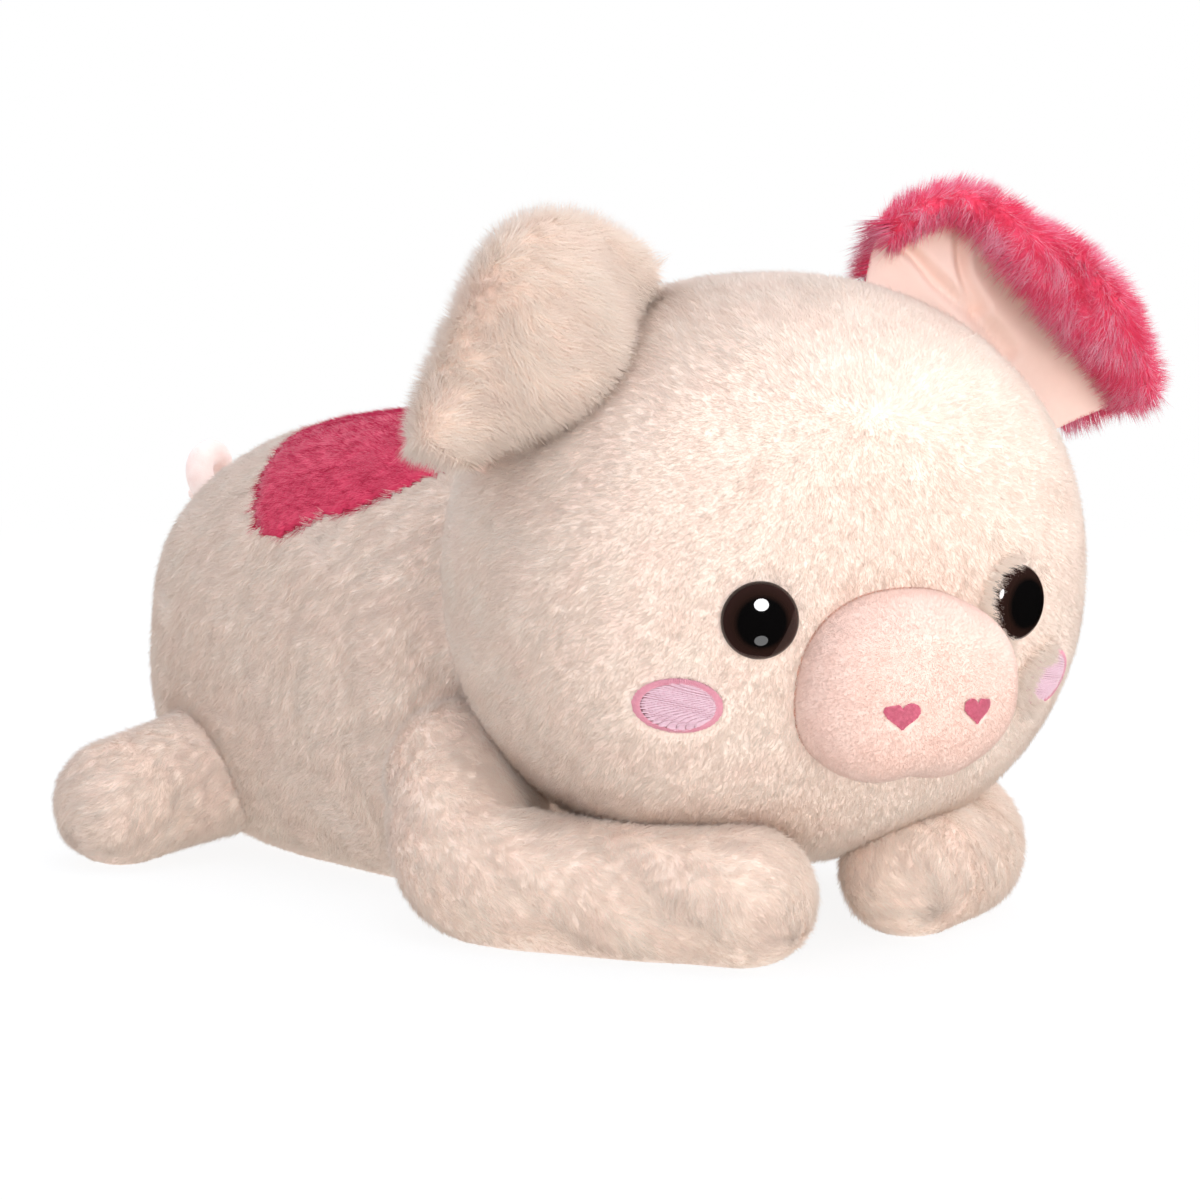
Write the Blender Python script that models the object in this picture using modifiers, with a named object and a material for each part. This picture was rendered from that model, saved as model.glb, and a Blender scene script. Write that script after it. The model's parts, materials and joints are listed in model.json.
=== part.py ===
"""A stuffed toy pig lying on its belly, chin down between its forelegs.

Metres, +Z up. The pig faces -Y and its left side is +X. The origin is on the
floor, under the middle of the belly. Run it with Blender 4.5.
"""

import math

import bmesh
import bpy
from mathutils import Matrix, Vector

COLLECTION = "plush_pig"

# Clearances.
GAP = 0.0003
TURN_GAP = 0.0009
FLOOR_PRESS = 0.0005
OVERRUN = 0.03

# Plush cloth, velour and thread.
PLUSH = 0.0035
VELOUR = 0.0022
THREAD_RISE = 0.0008

# Body.
BODY_WIDTH = 0.188
BODY_LENGTH = 0.282
BODY_HEIGHT = 0.177
BODY_TOP_POWER = 2.15
BODY_SIDE_POWER = 2.4
BODY_BASE_POWER = 3.1

# Pink patch on the back, its middle measured from the middle of the body.
PATCH_LENGTH = 0.112
PATCH_WIDTH = 0.122
PATCH_SIDE = 0.022
PATCH_AHEAD = 0.001
PATCH_WAVE_SHARE = 0.035
PATCH_WAVES = 5

# Head.
HEAD_WIDTH = 0.240
HEAD_DEPTH = 0.205
HEAD_HEIGHT = 0.217
HEAD_POWER = 2.15
NECK_OVERLAP = 0.055
CHIN_HEIGHT = 0.0255
HEAD_TURN = math.radians(14)
NECK_OPENING = 0.044
NECK_DROP = 0.034

# Snout.
SNOUT_WIDTH = 0.076
SNOUT_HEIGHT = 0.070
SNOUT_DEPTH = 0.068
SNOUT_POWER = 2.3
SNOUT_DROP = 0.030
SNOUT_SINK = 0.003

# Nostril hearts.
HEART_WIDTH = 0.0125
HEART_HEIGHT = 0.0100
HEART_WAVE_SHARES = (0.45, -0.17, -0.07, -0.035)
HEART_LIFT_SHARE = 0.09
NOSTRIL_SPACING = 0.030
NOSTRIL_DROP = 0.006

# Cheek ovals.
CHEEK_LENGTH = 0.032
CHEEK_HEIGHT = 0.021
CHEEK_SPACING = 0.150
CHEEK_DROP = 0.035

# Eyes.
EYE_WIDTH = 0.028
EYE_RISE = 0.0085
EYE_EDGE = 0.0014
EYE_SPACING = 0.104
EYE_DROP = 0.004
SHANK_WIDTH = 0.006
SHANK_LENGTH = 0.013
WASHER_WIDTH = 0.022
WASHER_THICKNESS = 0.0018
SHANK_FIT = 0.0002

# Ears: sewn over the head from the crown to its side, standing out and folded forward.
EAR_TOP_OUT = 0.046
EAR_SIDE_INSET = 0.007
EAR_BACK_SET = 0.004
EAR_TOP_LEAN = math.radians(72)
EAR_SIDE_LEAN = math.radians(22)
EAR_ROOT_DEPTH = 0.010
EAR_STAND = 0.047
EAR_FOLD = 0.054
EAR_BACK_THICKNESS = 0.0060
EAR_LINING_THICKNESS = 0.0030
EAR_LIFT = math.radians(30)

# From crown to side: how the lean changes, how far the fold stands out, and where the free edge
# lies, as shares of the change, of the stand and of the fold. The left ear stays open and the
# right one hangs down.
EAR_LEAN_SHARES = (0.00, 0.12, 0.36, 0.68, 1.00)
LEFT_STAND_SHARES = (0.50, 0.90, 0.98, 1.12, 1.00)
LEFT_EDGE_STAND_SHARES = (0.40, 0.82, 0.62, 0.60, 0.84)
LEFT_EDGE_FOLD_SHARES = (0.06, 0.18, 0.40, 0.40, 0.28)
RIGHT_STAND_SHARES = (0.30, 0.78, 1.10, 0.94, 0.80)
RIGHT_EDGE_STAND_SHARES = (0.20, 0.05, -0.12, -0.12, 0.46)
RIGHT_EDGE_FOLD_SHARES = (0.05, 0.27, 0.66, 0.68, 0.40)
EAR_FORWARD_SHARE = 0.28
EAR_BACKWARD_SHARE = 0.35

# Forelegs, laid forward and turned in.
SHOULDER_OUT = 0.082
SHOULDER_AHEAD = 0.112
SHOULDER_HEIGHT = 0.052
SHOULDER_THICKNESS = 0.062
FORELEG_THICKNESS = 0.051
NEAR_ELBOW_OUT = 0.099
NEAR_ELBOW_AHEAD = 0.150
NEAR_PAW_OUT = 0.058
NEAR_PAW_AHEAD = 0.242
FAR_ELBOW_OUT = 0.085
FAR_ELBOW_AHEAD = 0.200
FAR_PAW_OUT = 0.027
FAR_PAW_AHEAD = 0.240
FORELEG_SWING = math.radians(14)

# Hind legs, spread out behind.
HIP_OUT = 0.066
HIP_BACK = 0.058
HIP_HEIGHT = 0.036
HIP_THICKNESS = 0.056
FOOT_OUT = 0.118
FOOT_BACK = 0.064
HIND_FOOT_THICKNESS = 0.050
HIND_LEG_SWING = math.radians(9)

# Limbs: where along them they reach their end thickness, and how blunt their ends are.
LIMB_TAPER_SHARE = 0.55
LIMB_TIP_SHARE = 0.004

# Curled tail.
TAIL_THICKNESS = 0.0130
TAIL_CURL_WIDTH = 0.031
TAIL_PITCH = 0.022
TAIL_TURNS = 1.3
TAIL_DROP = 0.0365
TAIL_STEM = 0.016
TAIL_SLIM_SHARE = 0.25
TAIL_TIP_SHARE = 0.12
TAIL_SWING = math.radians(14)

# Counts.
HEAD_SEGMENTS, HEAD_RINGS = 40, 22
BODY_SEGMENTS, BODY_RINGS = 36, 20
INNER_SEGMENTS, INNER_RINGS = 24, 14
SNOUT_SEGMENTS, SNOUT_RINGS = 24, 14
LIMB_BEVEL_STEPS = 6
LIMB_STEPS = 20
TAIL_BEVEL_STEPS = 2
TAIL_STEPS = 24
EAR_ACROSS, EAR_ALONG = 12, 12
TURNED_STEPS = 24
OUTLINE_STEPS = 24
EYE_STEPS = 8
SWEEP_STEPS = 8
SWING_STEPS = 3

# Colours, as red, green and blue.
CREAM = (0.93, 0.80, 0.74)
PINK = (0.85, 0.09, 0.24)
PEACH = (0.93, 0.66, 0.58)
SNOUT_PINK = (0.93, 0.68, 0.64)
THREAD_PINK = (0.80, 0.25, 0.38)
CHEEK_PINK = (0.90, 0.50, 0.62)
EYE_BLACK = (0.012, 0.008, 0.008)
WASHER_WHITE = (0.85, 0.85, 0.84)
FIBRE_WHITE = (0.93, 0.93, 0.92)

BODY_HALF = Vector((BODY_WIDTH, BODY_LENGTH, BODY_HEIGHT)) / 2
BODY_CENTRE = Vector((0, 0, BODY_HALF.z - FLOOR_PRESS))
HEAD_HALF = Vector((HEAD_WIDTH, HEAD_DEPTH, HEAD_HEIGHT)) / 2
HEAD_CENTRE = Vector((0, NECK_OVERLAP - BODY_HALF.y - HEAD_HALF.y, CHIN_HEIGHT + HEAD_HALF.z))
SNOUT_HALF = Vector((SNOUT_WIDTH, SNOUT_DEPTH, SNOUT_HEIGHT)) / 2
SNOUT_CENTRE = Vector((0, SNOUT_SINK - HEAD_HALF.y, -SNOUT_DROP))
EAR_SIDE_OUT = HEAD_HALF.x - EAR_SIDE_INSET
TAIL_HEIGHT = BODY_CENTRE.z + BODY_HALF.z - TAIL_DROP


def clear_scene():
    for obj in list(bpy.data.objects):
        bpy.data.objects.remove(obj)
    for collection in list(bpy.data.collections):
        bpy.data.collections.remove(collection)


def make_collection(name):
    collection = bpy.data.collections.new(name)
    bpy.context.scene.collection.children.link(collection)
    return collection


def make_material(name, colour, roughness, metallic=0.0):
    material = bpy.data.materials.new(name)
    material.use_nodes = True
    shader = material.node_tree.nodes["Principled BSDF"]
    shader.inputs["Base Color"].default_value = (*colour, 1)
    shader.inputs["Roughness"].default_value = roughness
    shader.inputs["Metallic"].default_value = metallic
    return material


def add_object(name, mesh, collection, parent=None):
    obj = bpy.data.objects.new(name, mesh)
    collection.objects.link(obj)
    obj.parent = parent
    return obj


def finish_part(obj, colour, roughness):
    obj.data.materials.append(make_material(obj.name, colour, roughness))
    obj.data.shade_smooth()
    obj.data.set_sharp_from_angle(angle=math.radians(40))
    return obj


def as_cutter(obj):
    obj.hide_render = True
    obj.display_type = "WIRE"
    return obj


def boolean(obj, other, operation="DIFFERENCE", solver="EXACT"):
    modifier = obj.modifiers.new(operation.lower() + "_" + other.name, "BOOLEAN")
    modifier.operation = operation
    modifier.solver = solver
    modifier.object = other


def add_empty(name, collection, location, turn=0.0):
    empty = bpy.data.objects.new(name, None)
    collection.objects.link(empty)
    empty.location = location
    empty.rotation_euler = (0, 0, turn)
    return empty


def swell(direction, top_power, side_power, base_power):
    """The point where a ray meets a rounded unit box, softer where the power is lower."""
    end_power = top_power if direction.z > 0 else base_power
    power = side_power + (end_power - side_power) * abs(direction.z)
    total = sum(abs(value) ** power for value in direction)
    return direction / total ** (1 / power)


def swollen_mesh(name, half, powers, segments, rings):
    """A closed stuffed form of the given half sizes, about its own middle."""
    bm = bmesh.new()
    bmesh.ops.create_uvsphere(bm, u_segments=segments, v_segments=rings, radius=1)
    for vertex in bm.verts:
        point = swell(vertex.co.normalized(), *powers)
        vertex.co = Vector((point.x * half.x, point.y * half.y, point.z * half.z))
    bmesh.ops.triangulate(bm, faces=bm.faces, quad_method="FIXED")
    mesh = bpy.data.meshes.new(name)
    bm.to_mesh(mesh)
    bm.free()
    return mesh


def grown(half, distance):
    return half + Vector((distance, distance, distance))


def filling_half(half, cloth):
    """Half sizes of the filling inside a cloth of this thickness, drawn in evenly by the gap."""
    inner = grown(half, -cloth)
    return inner * (1 - GAP / min(inner))


def box_mesh(name, size):
    bm = bmesh.new()
    bmesh.ops.create_cube(bm, size=1, matrix=Matrix.Diagonal((*size, 1)))
    mesh = bpy.data.meshes.new(name)
    bm.to_mesh(mesh)
    bm.free()
    return mesh


def rod_mesh(name, radius, length):
    """A cylinder along Z, about its own middle."""
    bm = bmesh.new()
    bmesh.ops.create_cone(
        bm, cap_ends=True, segments=TURNED_STEPS, radius1=radius, radius2=radius, depth=length
    )
    mesh = bpy.data.meshes.new(name)
    bm.to_mesh(mesh)
    bm.free()
    return mesh


def curve_to_mesh(curve_object, name, collection, parent=None):
    """The curve's solid as a mesh object with welded caps. The curve is removed."""
    graph = bpy.context.evaluated_depsgraph_get()
    mesh = bpy.data.meshes.new_from_object(curve_object.evaluated_get(graph))
    bm = bmesh.new()
    bm.from_mesh(mesh)
    bmesh.ops.remove_doubles(bm, verts=bm.verts, dist=GAP / 30)
    bmesh.ops.recalc_face_normals(bm, faces=bm.faces)
    bm.to_mesh(mesh)
    bm.free()
    mesh.name = name
    matrix = curve_object.matrix_world.copy()
    bpy.data.objects.remove(curve_object)
    obj = add_object(name, mesh, collection, parent)
    obj.matrix_local = matrix
    return obj


def outline_prism(name, points, depth, collection, parent=None):
    """A flat outline in X and Y, pushed out along Z by depth, half each way."""
    curve = bpy.data.curves.new(name, "CURVE")
    curve.dimensions = "2D"
    curve.fill_mode = "BOTH"
    curve.extrude = depth / 2
    spline = curve.splines.new("POLY")
    spline.points.add(len(points) - 1)
    for spline_point, point in zip(spline.points, points):
        spline_point.co = (*point, 0, 1)
    spline.use_cyclic_u = True
    curve_object = add_object(name + "_curve", curve, collection)
    bpy.context.view_layer.update()
    return curve_to_mesh(curve_object, name, collection, parent)


def limb_radius(share, root_radius, end_radius, length):
    """The half thickness along a limb whose two ends are round."""
    ease = min(1, share / LIMB_TAPER_SHARE)
    radius = root_radius + (end_radius - root_radius) * ease
    for reach, cap in ((share * length, root_radius), ((1 - share) * length, end_radius)):
        if reach < cap:
            radius *= math.sqrt(max(LIMB_TIP_SHARE, 1 - (1 - reach / cap) ** 2))
    return radius


def through(points, share):
    """A point on the smooth curve through all the points, from first to last."""
    spans = len(points) - 1
    place = min(share * spans, spans - 1e-9)
    i = int(place)
    t = place - i
    before = points[i - 1] if i > 0 else points[0] * 2 - points[1]
    after = points[i + 2] if i + 2 <= spans else points[-1] * 2 - points[-2]
    start, end = points[i], points[i + 1]
    return (
        start * 2
        + (end - before) * t
        + (before * 2 - start * 5 + end * 4 - after) * t**2
        + (start * 3 - before - end * 3 + after) * t**3
    ) / 2


def eased(share):
    """Even steps drawn closer together near both ends."""
    return (share + (1 - math.cos(math.pi * share)) / 2) / 2


def stuffed_limb(name, points, root_radius, end_radius, collection):
    """A limb along a smooth curve through its points, swelling and tapering."""
    start = points[0] - (points[1] - points[0]).normalized() * root_radius
    end = points[-1] + (points[-1] - points[-2]).normalized() * end_radius
    line = [start, *points, end]
    path = [through(line, eased(i / LIMB_STEPS)) for i in range(LIMB_STEPS + 1)]
    reach = [0.0]
    for before, after in zip(path, path[1:]):
        reach.append(reach[-1] + (after - before).length)
    curve = bpy.data.curves.new(name, "CURVE")
    curve.dimensions = "3D"
    curve.bevel_depth = 1
    curve.bevel_resolution = LIMB_BEVEL_STEPS
    curve.use_fill_caps = True
    spline = curve.splines.new("POLY")
    spline.points.add(LIMB_STEPS)
    for spline_point, point, distance in zip(spline.points, path, reach):
        share = distance / reach[-1]
        spline_point.co = (*point, 1)
        spline_point.radius = limb_radius(share, root_radius, end_radius, reach[-1])
    curve_object = add_object(name + "_curve", curve, collection)
    bpy.context.view_layer.update()
    return curve_to_mesh(curve_object, name, collection)


def turned(name, profile, collection, parent):
    """A solid turned about Z from a profile of radius and height, which runs down its outer side."""
    mesh = bpy.data.meshes.new(name)
    bm = bmesh.new()
    verts = [bm.verts.new((radius, 0, height)) for radius, height in profile]
    for before, after in zip(verts, verts[1:]):
        bm.edges.new((before, after))
    bm.to_mesh(mesh)
    bm.free()
    obj = add_object(name, mesh, collection, parent)
    screw = obj.modifiers.new("turn", "SCREW")
    screw.steps = TURNED_STEPS
    screw.render_steps = TURNED_STEPS
    screw.use_merge_vertices = True
    screw.merge_threshold = GAP / 30
    return obj


def head_surface(x_place, z_place):
    """The head's front surface point at this side and height, and its outward normal."""
    half = HEAD_HALF
    low, high = 0.0, 1.0
    for _ in range(50):
        middle = (low + high) / 2
        total = (
            abs(x_place / half.x) ** HEAD_POWER
            + middle**HEAD_POWER
            + abs(z_place / half.z) ** HEAD_POWER
        )
        low, high = (middle, high) if total < 1 else (low, middle)
    point = Vector((x_place, -half.y * low, z_place))
    slope = [
        math.copysign(abs(value / size) ** (HEAD_POWER - 1), value) / size
        for value, size in zip(point, half)
    ]
    return point, Vector(slope).normalized()


def facing(normal):
    """A turn that brings Z onto the normal and keeps Y as upright as it can be."""
    across = Vector((0, 0, 1)).cross(normal).normalized()
    upright = normal.cross(across)
    return Matrix((across, upright, normal)).transposed().to_4x4()


def head_sweep_reach(direction, half):
    """How far the head's surface reaches along a direction, at the most, while it turns."""
    reach = 0.0
    for step in range(SWEEP_STEPS + 1):
        angle = HEAD_TURN * (2 * step / SWEEP_STEPS - 1)
        ray = Matrix.Rotation(-angle, 3, "Z") @ direction
        total = sum(abs(value / size) ** HEAD_POWER for value, size in zip(ray, half))
        reach = max(reach, 1 / total ** (1 / HEAD_POWER))
    return reach


def make_head_room(cutters):
    """The room that the head sweeps between the limits of its turn, grown by the running gap."""
    half = grown(HEAD_HALF, TURN_GAP)
    powers = (HEAD_POWER, HEAD_POWER, HEAD_POWER)
    mesh = swollen_mesh("head_room", half, powers, HEAD_SEGMENTS, HEAD_RINGS)
    for vertex in mesh.vertices:
        direction = vertex.co.normalized()
        vertex.co = direction * head_sweep_reach(direction, half)
    room = as_cutter(add_object("head_room", mesh, cutters))
    room.location = HEAD_CENTRE
    return room


def head_form(name, half, collection, pivot, segments=HEAD_SEGMENTS, rings=HEAD_RINGS):
    mesh = swollen_mesh(name, half, (HEAD_POWER, HEAD_POWER, HEAD_POWER), segments, rings)
    return add_object(name, mesh, collection, pivot)


def body_form(name, half, collection, segments=BODY_SEGMENTS, rings=BODY_RINGS):
    powers = (BODY_TOP_POWER, BODY_SIDE_POWER, BODY_BASE_POWER)
    obj = add_object(name, swollen_mesh(name, half, powers, segments, rings), collection)
    obj.location = BODY_CENTRE
    return obj


def snout_form(name, half, collection, pivot):
    powers = (SNOUT_POWER, SNOUT_POWER, SNOUT_POWER)
    mesh = swollen_mesh(name, half, powers, SNOUT_SEGMENTS, SNOUT_RINGS)
    obj = add_object(name, mesh, collection, pivot)
    obj.location = SNOUT_CENTRE
    return obj


def make_floor_cutter(cutters):
    size = BODY_LENGTH + HEAD_DEPTH
    mesh = box_mesh("floor_cut", (2 * size, 2 * size, size))
    floor = as_cutter(add_object("floor_cut", mesh, cutters))
    floor.location = (0, 0, -size / 2)
    return floor


def patch_outline(inset):
    """A rounded patch with a gently waved edge."""
    points = []
    count = 8 * PATCH_WAVES
    for i in range(count):
        angle = math.tau * i / count
        wave = 1 + PATCH_WAVE_SHARE * math.sin(PATCH_WAVES * angle)
        points.append((
            (PATCH_WIDTH / 2 * wave - inset) * math.cos(angle) - PATCH_SIDE,
            (PATCH_LENGTH / 2 * wave - inset) * math.sin(angle) - PATCH_AHEAD,
        ))
    return points


def make_body(parts, cutters, floor, head_room):
    inner_half = grown(BODY_HALF, -PLUSH)
    inner = as_cutter(body_form("body_inner", inner_half, cutters, INNER_SEGMENTS, INNER_RINGS))
    prisms = {}
    for name, inset in (("patch_hole", -GAP / 2), ("patch_area", GAP / 2)):
        prism = outline_prism(name, patch_outline(inset), BODY_HEIGHT, cutters)
        prism.location = (0, 0, BODY_CENTRE.z + BODY_HEIGHT / 2)
        prisms[name] = as_cutter(prism)

    skin = body_form("body_skin", BODY_HALF, parts)
    for cutter in (floor, inner, head_room, prisms["patch_hole"]):
        boolean(skin, cutter)
    finish_part(skin, CREAM, 0.95)

    patch = body_form("back_patch", BODY_HALF, parts)
    boolean(patch, inner)
    boolean(patch, prisms["patch_area"], "INTERSECT")
    boolean(patch, head_room)
    finish_part(patch, PINK, 0.95)

    full_half = filling_half(BODY_HALF, PLUSH)
    filling = body_form("body_filling", full_half, parts, INNER_SEGMENTS, INNER_RINGS)
    boolean(filling, head_room)
    finish_part(filling, FIBRE_WHITE, 1.0)


def eye_places():
    for name, side in (("left", 1), ("right", -1)):
        point, normal = head_surface(side * EYE_SPACING / 2, -EYE_DROP)
        yield name, Matrix.Translation(point) @ facing(normal)


def eye_seat_depth():
    """How far a flat seat as wide as the eye sinks into the rounded head."""
    radius = EYE_WIDTH / 2
    bend = min(HEAD_HALF.x, HEAD_HALF.z)
    return bend - math.sqrt(bend * bend - radius * radius) + GAP


def make_head(parts, cutters, pivot):
    inner_half = grown(HEAD_HALF, -PLUSH)
    inner = head_form("head_inner", inner_half, cutters, pivot, INNER_SEGMENTS, INNER_RINGS)
    opening = as_cutter(
        add_object("neck_hole", rod_mesh("neck_hole", NECK_OPENING / 2, HEAD_DEPTH), cutters, pivot)
    )
    opening.rotation_euler = (math.pi / 2, 0, 0)
    opening.location = (0, HEAD_HALF.y, -NECK_DROP)

    skin = head_form("head_skin", HEAD_HALF, parts, pivot)
    boolean(skin, as_cutter(inner))
    boolean(skin, opening)
    finish_part(skin, CREAM, 0.95)

    full_half = filling_half(HEAD_HALF, PLUSH)
    filling = head_form("head_filling", full_half, parts, pivot, INNER_SEGMENTS, INNER_RINGS)
    finish_part(filling, FIBRE_WHITE, 1.0)

    for name, place in eye_places():
        make_eye(name, place, parts, cutters, pivot, skin, filling)


def make_eye(name, place, parts, cutters, pivot, skin, filling):
    """A domed eye whose shank passes the skin into a washer, with room cut for each."""
    radius = EYE_WIDTH / 2
    shank = SHANK_WIDTH / 2
    seat = -eye_seat_depth()
    washer_top = -PLUSH - eye_seat_depth() - GAP
    profile = [(0, seat + EYE_RISE)]
    for i in range(1, EYE_STEPS + 1):
        angle = math.pi / 2 * i / EYE_STEPS
        height = EYE_EDGE + (EYE_RISE - EYE_EDGE) * math.cos(angle)
        profile.append((radius * math.sin(angle), seat + height))
    profile += [(radius, seat), (shank, seat), (shank, seat - SHANK_LENGTH), (0, seat - SHANK_LENGTH)]
    eye = turned("eye_" + name, profile, parts, pivot)
    eye.matrix_local = place
    finish_part(eye, EYE_BLACK, 0.08)

    hole = shank + SHANK_FIT
    rim = WASHER_WIDTH / 2
    base = washer_top - WASHER_THICKNESS
    ring = [(hole, washer_top), (rim, washer_top), (rim, base), (hole, base), (hole, washer_top)]
    washer = turned("eye_washer_" + name, ring, parts, pivot)
    washer.matrix_local = place
    finish_part(washer, WASHER_WHITE, 0.45)

    seat_top = -PLUSH - eye_seat_depth()
    shank_end = seat - SHANK_LENGTH - GAP
    cuts = (
        ("eye_seat_", radius + GAP, seat - GAP, seat + OVERRUN, skin),
        ("shank_hole_", hole, shank_end, OVERRUN, skin),
        ("washer_seat_", rim + GAP, shank_end, seat_top, skin),
        ("washer_pocket_", rim + GAP, shank_end, OVERRUN, filling),
    )
    for label, cut_radius, bottom, top, cut_piece in cuts:
        cut = add_object(label + name, rod_mesh(label + name, cut_radius, top - bottom), cutters, pivot)
        cut.matrix_local = place @ Matrix.Translation((0, 0, (top + bottom) / 2))
        boolean(cut_piece, as_cutter(cut))


def make_snout(parts, cutters, pivot):
    head_cut = as_cutter(head_form("snout_back_cut", grown(HEAD_HALF, GAP), cutters, pivot))
    inner = as_cutter(snout_form("snout_inner", grown(SNOUT_HALF, -VELOUR), cutters, pivot))
    skin = snout_form("snout_skin", SNOUT_HALF, parts, pivot)
    boolean(skin, inner)
    boolean(skin, head_cut)
    finish_part(skin, SNOUT_PINK, 0.9)
    filling = snout_form("snout_filling", filling_half(SNOUT_HALF, VELOUR), parts, pivot)
    boolean(filling, head_cut)
    finish_part(filling, FIBRE_WHITE, 1.0)


def heart_outline():
    """A heart about its own middle: two round lobes over a point."""
    points = []
    for i in range(OUTLINE_STEPS):
        angle = math.tau * i / OUTLINE_STEPS
        x = math.sin(angle) ** 3 / 2
        y = sum(share * math.cos((k + 1) * angle) for k, share in enumerate(HEART_WAVE_SHARES))
        points.append((x * HEART_WIDTH, (y + HEART_LIFT_SHARE) * HEART_HEIGHT))
    return points


def oval_outline():
    for i in range(OUTLINE_STEPS):
        angle = math.tau * i / OUTLINE_STEPS
        yield CHEEK_LENGTH / 2 * math.cos(angle), CHEEK_HEIGHT / 2 * math.sin(angle)


def raised_stitching(name, carrier, half, outline, place, parts, cutters, pivot, colour):
    """A thin pad of thread that follows the carrier's surface, inside the outline."""
    pad = carrier(name, grown(half, GAP + THREAD_RISE), parts, pivot)
    under = as_cutter(carrier(name + "_under", grown(half, GAP), cutters, pivot))
    prism = as_cutter(outline_prism(name + "_area", list(outline), 2 * OVERRUN, cutters, pivot))
    prism.matrix_local = place
    boolean(pad, prism, "INTERSECT")
    boolean(pad, under)
    return finish_part(pad, colour, 0.6)


def make_nostrils(parts, cutters, pivot):
    for name, side in (("left", 1), ("right", -1)):
        place = Matrix.Translation((
            side * NOSTRIL_SPACING / 2,
            SNOUT_CENTRE.y - SNOUT_HALF.y,
            SNOUT_CENTRE.z - NOSTRIL_DROP,
        )) @ facing(Vector((0, -1, 0)))
        raised_stitching(
            "nostril_" + name,
            snout_form,
            SNOUT_HALF,
            heart_outline(),
            place,
            parts,
            cutters,
            pivot,
            THREAD_PINK,
        )


def make_cheeks(parts, cutters, pivot):
    for name, side in (("left", 1), ("right", -1)):
        point, normal = head_surface(side * CHEEK_SPACING / 2, -CHEEK_DROP)
        place = Matrix.Translation(point) @ facing(normal)
        raised_stitching(
            "cheek_" + name,
            head_form,
            HEAD_HALF,
            oval_outline(),
            place,
            parts,
            cutters,
            pivot,
            CHEEK_PINK,
        )


def crown_point(x_place):
    """The head's top surface above this side place."""
    share = 1 - abs(x_place / HEAD_HALF.x) ** HEAD_POWER
    return HEAD_HALF.z * share ** (1 / HEAD_POWER)


def ear_root(side, place):
    """A point of the sewn line, from 0 at the crown to 1 at the side of the head."""
    out = EAR_TOP_OUT + (EAR_SIDE_OUT - EAR_TOP_OUT) * place
    return Vector((side * out, EAR_BACK_SET, crown_point(out)))


def ear_point(side, place, along):
    """A point of the ear's middle sheet, from the sewn line to the free edge."""
    lean = EAR_TOP_LEAN + (EAR_SIDE_LEAN - EAR_TOP_LEAN) * through(EAR_LEAN_SHARES, place)
    out = Vector((side * math.cos(lean), 0, math.sin(lean)))
    forward = Vector((0, -1, 0))
    stands, edge_stand, edge_fold = (
        (LEFT_STAND_SHARES, LEFT_EDGE_STAND_SHARES, LEFT_EDGE_FOLD_SHARES)
        if side > 0
        else (RIGHT_STAND_SHARES, RIGHT_EDGE_STAND_SHARES, RIGHT_EDGE_FOLD_SHARES)
    )
    stand = EAR_STAND * through(stands, place)
    edge_rise = EAR_STAND * through(edge_stand, place)
    fold = EAR_FOLD * through(edge_fold, place)
    root = ear_root(side, place)
    top = root + out * ((stand - edge_rise / 8) * 4 / 3)
    back_bend = top - forward * (EAR_FOLD * EAR_BACKWARD_SHARE * (1 - place))
    front_bend = top + forward * (fold + EAR_FOLD * EAR_FORWARD_SHARE * place)
    rest = 1 - along
    return (
        (root - out * EAR_ROOT_DEPTH) * rest**3
        + back_bend * (3 * rest * rest * along)
        + front_bend * (3 * rest * along * along)
        + (root + out * edge_rise + forward * fold) * along**3
    )


def ear_sheet(name, side, thickness, offset, parts, parent):
    """The ear's middle sheet, thickened to one side of it."""
    bm = bmesh.new()
    bmesh.ops.create_grid(bm, x_segments=EAR_ACROSS, y_segments=EAR_ALONG, size=1)
    for vertex in bm.verts:
        vertex.co = ear_point(side, (vertex.co.x + 1) / 2, (vertex.co.y + 1) / 2)
    if side > 0:
        bmesh.ops.reverse_faces(bm, faces=bm.faces)
    bmesh.ops.triangulate(bm, faces=bm.faces, quad_method="FIXED")
    mesh = bpy.data.meshes.new(name)
    bm.to_mesh(mesh)
    bm.free()
    obj = add_object(name, mesh, parts, parent)
    shell = obj.modifiers.new("thickness", "SOLIDIFY")
    shell.thickness = thickness
    shell.offset = offset
    return obj


def ear_hinge(side):
    """The middle of the straight line between the ear's sewn ends, and its direction."""
    crown, flank = ear_root(side, 0), ear_root(side, 1)
    return (crown + flank) / 2, (flank - crown).normalized()


def make_ears(parts, cutters, pivot):
    for name, side, colour in (("left", 1, PINK), ("right", -1, CREAM)):
        middle, direction = ear_hinge(side)
        hinge = add_empty("ear_hinge_" + name, parts, middle)
        hinge.parent = pivot
        rooms = []
        for label, lift in (("down", 0), ("up", EAR_LIFT)):
            room = head_form(f"ear_{name}_room_{label}", grown(HEAD_HALF, GAP), cutters, pivot)
            turn = Matrix.Rotation(side * lift, 4, direction)
            room.matrix_local = Matrix.Translation(middle) @ turn @ Matrix.Translation(-middle)
            rooms.append(as_cutter(room))
        back = ear_sheet("ear_back_" + name, side, EAR_BACK_THICKNESS, 1, parts, hinge)
        lining = ear_sheet("ear_lining_" + name, side, EAR_LINING_THICKNESS, -1, parts, hinge)
        for obj in (back, lining):
            obj.data.transform(Matrix.Translation(-middle))
            for room in rooms:
                boolean(obj, room)
        finish_part(back, colour, 0.95)
        finish_part(lining, PEACH, 0.9)


def resting_height(radius):
    """How high a limb's middle line lies when its facets press into the floor."""
    sides = 4 + 2 * LIMB_BEVEL_STEPS
    return radius * math.cos(math.pi / sides) - FLOOR_PRESS


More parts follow.
